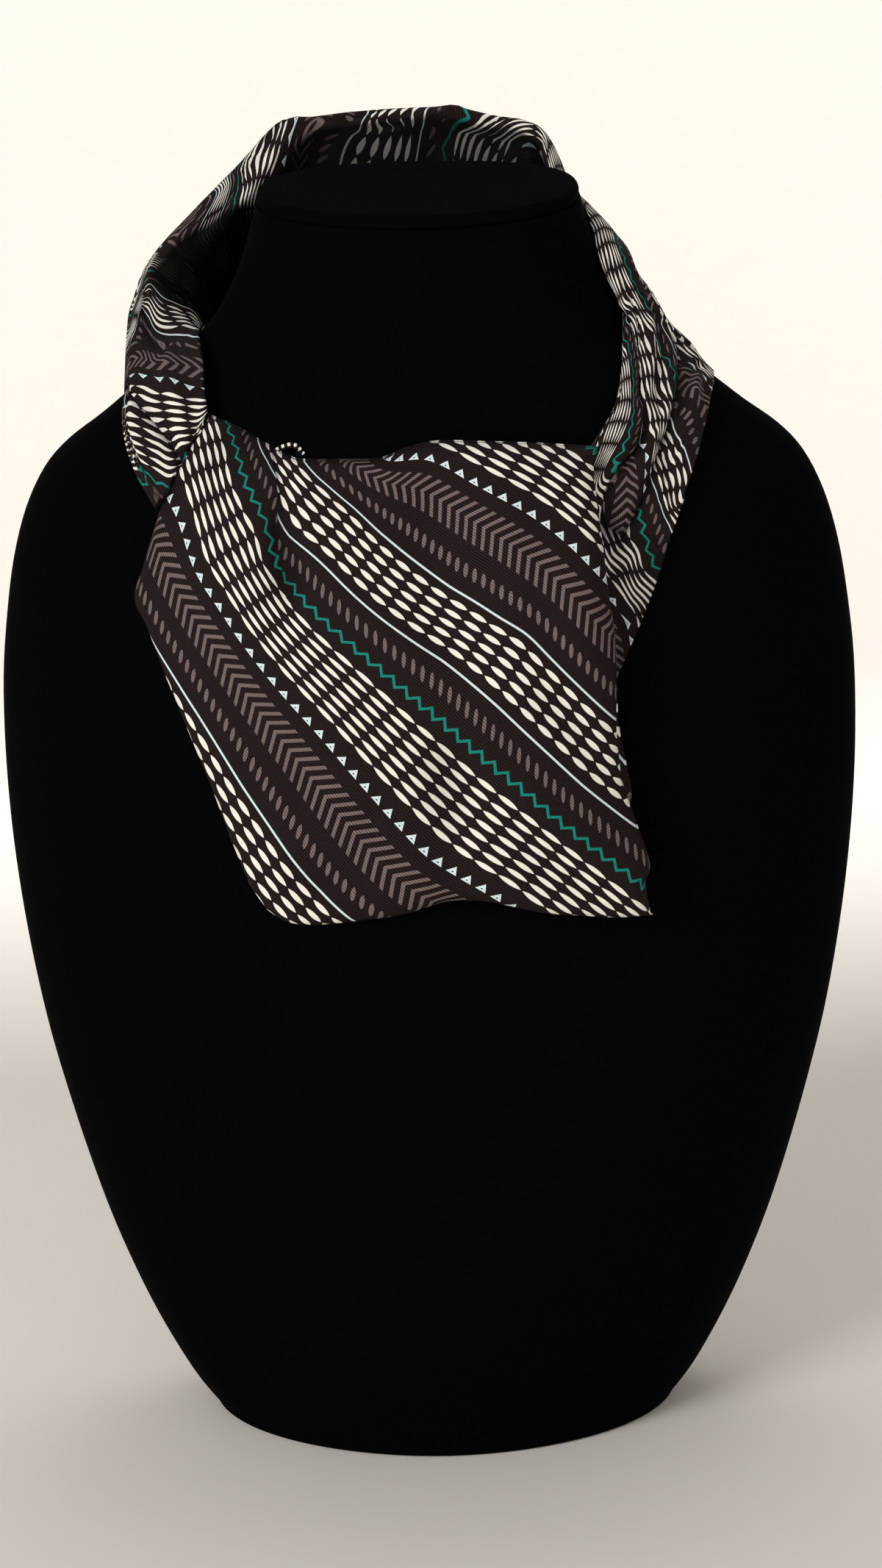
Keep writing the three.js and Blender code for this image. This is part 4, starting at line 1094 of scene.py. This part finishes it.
# Front panel: the cravat's free outer end, folded forward over the band at the left and left to
# hang as a broad flat tube, with soft folds and rolled edges.
# Its four edges as seen from the front: places across and up, in millimetres
PANEL_TOP = (
    (-81, 424.5), (-69, 419.5), (-57.5, 413), (-47, 408.2), (-31.5, 407.6), (-16.4, 407.8),
    (-6, 411.5), (6, 413.6), (28.5, 413), (51, 411.5), (65.5, 410),
)
PANEL_LEFT = (
    (-81, 424.5), (-88.5, 413), (-95, 401), (-99.5, 391.5), (-103.8, 379), (-107.5, 368),
    (-110.8, 357.5), (-105.8, 347), (-100.5, 333), (-93.2, 315), (-88.4, 303), (-82.4, 288),
    (-76, 269.6), (-69, 251.8), (-62, 241.5),
)
PANEL_RIGHT = (
    (65.5, 410), (63.5, 402), (64.3, 390.5), (66, 374), (67.6, 357.6), (69.6, 342),
    (69.8, 326), (69.4, 309), (70.2, 298), (71.5, 287.5), (76, 274), (81.6, 256.5),
    (79.8, 249.4), (81.8, 236.6),
)
PANEL_BOTTOM = (
    (-62, 241.5), (-54.5, 237), (-43.5, 236.2), (-24.8, 238.3), (-13, 239.8), (-1.5, 243),
    (6.2, 245), (21.6, 245.2), (41, 240.8), (57, 238.5), (69, 237), (81.8, 236.6),
)
# How far its back lies off the velvet, and off it over the under end, and where it steps up
PANEL_REST = 1.2
PANEL_OVER_END = 8.6
PANEL_STEP = (0, 36)
# The whole tube's least thickness, each layer's wall, how much fuller it is inside its edges, and
# how far in from an edge it is full, by its rough size across and down
PANEL_CLOTH = 2.4
PANEL_WALL = 0.7
PANEL_FULLNESS = 7.0
PANEL_ROLL = 9.0
PANEL_SIZE = (150, 175)
# The mesh's steps, and how much closer they are near its edges
PANEL_ACROSS = 96
PANEL_DOWN = 110
PANEL_EASE = 0.08
# Rounds that settle the velvet's front surface, and how near to its side it is followed
CHEST_ROUNDS = 8
CHEST_SIDE = 0.999
# Soft troughs and swells. Columns: width, height, then places across and up.
PANEL_FOLDS = (
    (7, -4.5, (-66, 417), (-51, 366)),
    (9, 3, (-84, 402), (-66, 352)),
    (16, 2.2, (-45, 392), (4, 330)),
    (9, 1.8, (52, 398), (58, 335)),
    (12, 2.2, (-52, 262), (18, 262)),
    (8, -2.2, (5, 300), (8, 250)),
    (9, 2, (40, 285), (76, 248)),
    (5.5, 2.6, (-64, 410), (-61.5, 392), (-60, 372)),
    (3.2, -1.4, (-75, 418), (-78, 400), (-76, 380)),
    (6, 1.2, (-48, 398), (-46, 372)),
    (10, 1.2, (20, 396), (44, 372), (60, 344)),
    (7, -1.1, (-30, 372), (6, 342), (30, 300)),
    (6, -1, (44, 322), (62, 296), (70, 272)),
    (9, 1, (-88, 330), (-70, 296), (-52, 268)),
    (5, -1, (-84, 318), (-66, 300), (-50, 290)),
    (6, 0.9, (-20, 250), (10, 253)),
    (4, -0.8, (-46, 247), (-30, 262), (-20, 284)),
    (6, 0.9, (62, 395), (64, 372)),
)
# Its one pleat, below the curl, with the same columns as the band's, for a chart that runs up the
# panel and then to its left
PANEL_PLEAT_AXES = (1, -1)
PANEL_PLEATS = (
    (-1, 18, (
        (356, -51.5, 0), (362, -52.2, 0.6), (368, -53.2, 2), (374, -54.4, 4.5), (382, -54.9, 7.5),
        (392, -54.3, 9), (402, -54.9, 9), (409, -56.5, 9), (416, -58, 9),
    )),
)


def chest_y(x, z):
    """The velvet's front surface at a place seen from the front."""
    y = np.zeros_like(x)
    for turn in range(CHEST_ROUNDS):
        level = level_of(y, z)
        share = np.minimum(np.abs(x) / level_size(level, 1), CHEST_SIDE)
        y = -level_size(level, 2) * (1 - share**FRONT_POWER) ** (1 / FRONT_POWER)
    return y


def eased(share):
    """Steps of a share from 0 to 1 that are closer near both ends."""
    turn = math.pi * (PANEL_EASE + (1 - 2 * PANEL_EASE) * share)
    return 0.5 - 0.5 * np.cos(turn) / math.cos(math.pi * PANEL_EASE)


def rows_at(rows, share):
    """Rows of a table at shares of its length, on a smooth curve through the rows."""
    return smooth_rows(rows, share * (len(rows) - 1))


def panel_places(over, down):
    """Flat places across and up the panel, blended from its four edges."""
    top, bottom = (rows_at(edge, over[0])[None] for edge in (PANEL_TOP, PANEL_BOTTOM))
    left, right = (rows_at(edge, down[:, 0])[:, None] for edge in (PANEL_LEFT, PANEL_RIGHT))
    over, down = over[..., None], down[..., None]
    top_corners = (1 - over) * PANEL_TOP[0] + over * PANEL_TOP[-1]
    bottom_corners = (1 - over) * PANEL_BOTTOM[0] + over * PANEL_BOTTOM[-1]
    between_ends = (1 - down) * (top - top_corners) + down * (bottom - bottom_corners)
    return between_ends + (1 - over) * left + over * right


down, over = np.meshgrid(
    eased(np.linspace(0, 1, PANEL_DOWN + 1)), eased(np.linspace(0, 1, PANEL_ACROSS + 1)), indexing="ij"
)
panel_chart = panel_places(over, down)
panel_x, panel_z = np.moveaxis(panel_chart, -1, 0)
side_edge = np.minimum(over, 1 - over) * PANEL_SIZE[0]
end_edge = np.minimum(down, 1 - down) * PANEL_SIZE[1]
inward = np.clip(np.minimum(side_edge, end_edge) / PANEL_ROLL, 0, 1)
roll = np.sqrt(1 - (1 - inward) ** 2)
rest = PANEL_REST + (PANEL_OVER_END - PANEL_REST) * smooth_step(panel_x, *PANEL_STEP)
panel_hidden, panel_past, dropped = pleat_fields(panel_z, -panel_x, PANEL_PLEAT_AXES, PANEL_PLEATS)
folds = crease_height(panel_x, panel_z, PANEL_FOLDS) + dropped
stand = rest + PANEL_CLOTH + roll * (PANEL_FULLNESS + folds)
chest = chest_y(panel_x, panel_z)
panel_front = np.stack([panel_x, chest - stand, panel_z], axis=-1)
panel_back = np.stack([panel_x, chest - rest, panel_z], axis=-1)

# The print on the panel, read as on the band
PANEL_PRINT = (
    (0, ((232, 916), (288, 1004), (328, 1069), (427, 1205))),
    (39, ((229, 674), (241, 696), (252, 728), (268, 776), (280, 797), (304, 833), (364, 916),
          (430, 993), (496, 1070), (552, 1132), (586, 1164), (617, 1185), (664, 1212))),
    (46.4, ((255, 664), (263, 692), (273, 730), (282, 761), (298, 788))),
    (69.8, ((294, 576), (303, 608), (307, 633), (314, 660), (324, 682), (334, 704), (344, 722),
            (353, 748), (365, 778))),
    (76.7, ((304, 569), (313, 588), (319, 602), (324, 619), (333, 652), (340, 669), (352, 690),
            (360, 707), (367, 728), (369, 747), (376, 769), (393, 792), (410, 813), (470, 871),
            (553, 943), (636, 1010), (712, 1076), (751, 1111), (877, 1205))),
    (85.7, ((331, 584), (342, 616), (351, 638), (362, 656), (383, 744), (396, 760), (412, 776))),
    (93.8, ((343, 592), (355, 612), (366, 626), (380, 710), (393, 731), (545, 861), (600, 899),
            (678, 962), (751, 1029), (790, 1066))),
    (99.5, ((357, 600), (369, 624), (395, 700), (407, 716))),
    (122.8, ((411, 624), (451, 664), (480, 690), (517, 723), (552, 754), (583, 777), (611, 796),
             (642, 815), (680, 840), (717, 863), (742, 888), (814, 958), (843, 1005))),
    (147.5, ((481, 629), (561, 663), (637, 705), (716, 755), (771, 803), (817, 852))),
    (161.8, ((526, 623), (576, 622), (639, 651), (714, 692), (780, 743), (813, 776))),
    (199.5, ((792, 604),)),
)
PANEL_SLACK = 9.0

spots, amounts = print_readings(panel_front, panel_chart, PANEL_PRINT)
turned_spots = np.array(spots)[:, ::-1] * PANEL_PLEAT_AXES
amounts = np.array(amounts) - cloth_hidden(turned_spots, PANEL_PLEAT_AXES, PANEL_PLEATS)
panel_stripe = smooth_field(spots, amounts, panel_chart, PANEL_SLACK)
panel_course = along_stripes(panel_front, panel_stripe, PRINT_ROUNDS)
# The panel's painted shade darkens the bottoms of its folds
panel_fields = {
    "stripe": panel_stripe, "course": panel_course,
    "hidden": -panel_hidden, "past": panel_past, "painted_shade": trough_shade(folds),
}
panel = tube_of_cloth("front_panel_cloth", panel_front, panel_back, PANEL_WALL, twill, panel_fields)
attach(panel, "root")
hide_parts("front_panel")

# Under end: the gathered end of the same tube, below the strap and behind the panel. Only its
# right edge shows, past the panel's.
# Columns, in millimetres: height, left edge, right edge
UNDER_END = (
    (323.6, 33, 70), (308, 27, 70.5), (294, 21, 73), (281, 17, 75), (272, 18, 72.5),
)
# How far it lies off the velvet, and its gathers: height, number, and how much lower they end
UNDER_REST = 1.4
UNDER_SWELL = 2.0
UNDER_GATHERS = 3
UNDER_FLATTENS = 0.4
UNDER_ACROSS = 72
UNDER_DOWN = 64
# The print's place at the bust's axis, and its rise for each millimetre across and up
UNDER_PRINT = (-268, 0.78, 0.62)

way = np.linspace(0, 1, UNDER_DOWN + 1)
under_z, under_left, under_right = rows_at(UNDER_END, way)[..., None].swapaxes(0, 1)
down, over = np.meshgrid(way, np.linspace(0, 1, UNDER_ACROSS + 1), indexing="ij")
under_x = under_left + (under_right - under_left) * over
under_z = np.broadcast_to(under_z, under_x.shape)
gather = 0.5 - 0.5 * np.cos(over * 2 * math.pi * UNDER_GATHERS)
wave = UNDER_SWELL * gather * np.sin(math.pi * over) * (1 - UNDER_FLATTENS * down)
under_y = chest_y(under_x, under_z) - UNDER_REST
under_back = np.stack([under_x, under_y, under_z], axis=-1)
under_front = np.stack([under_x, under_y - wave - BAND_CLOTH, under_z], axis=-1)
begins, lean_x, lean_z = UNDER_PRINT
under_fields = {
    "stripe": begins + lean_x * under_x + lean_z * under_z,
    "course": lean_z * under_x - lean_x * under_z,
}
under_end = tube_of_cloth("under_end_cloth", under_front, under_back, BAND_WALL, twill, under_fields)
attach(under_end, "root")
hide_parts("under_end")

# Inner curl: the tube's inner layer, of the same twill, which rolls up in a low arch at the panel's
# top edge and joins the tube behind it.
# Its middle line as seen from the front, and how far that stands off the velvet
CURL_PLACES = ((-57.5, 409.6), (-53.5, 412.1), (-48.5, 413.0), (-44.8, 409.9))
CURL_STAND = 2.4
# The roll's radius at its ends and at its middle, its turns, and the share by which it tightens
CURL_OPENS = (0.8, 1.25)
CURL_TURN = 1.35
CURL_TIGHTENS = 0.45
CURL_CLOTH = 0.42
CURL_WALL = 0.14
CURL_ALONG = 56
CURL_ROUND = 30
# The print's place at one end, and its rise for each millimetre along the roll
CURL_PRINT = (44.0, 1.7)

way = np.linspace(0, 1, CURL_ALONG + 1)
path = rows_at(CURL_PLACES, way)
middle = np.stack([path[:, 0], chest_y(path[:, 0], path[:, 1]) - CURL_STAND, path[:, 1]], axis=-1)
ahead = np.gradient(middle, axis=0)
ahead /= np.linalg.norm(ahead, axis=1, keepdims=True)
aside = np.cross(ahead, (0.0, 1.0, 0.0))
aside /= np.linalg.norm(aside, axis=1, keepdims=True)
radius = CURL_OPENS[0] + (CURL_OPENS[1] - CURL_OPENS[0]) * np.sin(math.pi * way)
turns = np.linspace(0, CURL_TURN * 2 * math.pi, CURL_ROUND + 1)
spiral = radius[:, None] * (1 - CURL_TIGHTENS * turns / turns[-1])
forward = np.cos(turns)[None, :, None] * np.array((0.0, -1.0, 0.0))
toward = forward + np.sin(turns)[None, :, None] * aside[:, None]
curl_front = middle[:, None] + toward * spiral[..., None]
curl_back = middle[:, None] + toward * (spiral - CURL_CLOTH)[..., None]
run = np.cumsum(np.linalg.norm(np.gradient(middle, axis=0), axis=1))
stripe = CURL_PRINT[0] + CURL_PRINT[1] * np.broadcast_to(run[:, None], spiral.shape)
curl_fields = {"stripe": stripe, "course": turns[None] * spiral}
curl = tube_of_cloth("inner_curl_cloth", curl_front, curl_back, CURL_WALL, twill, curl_fields)
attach(curl, "root")
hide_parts("inner_curl")

sizes = {"cad": cad_bounds, "visual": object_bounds()}
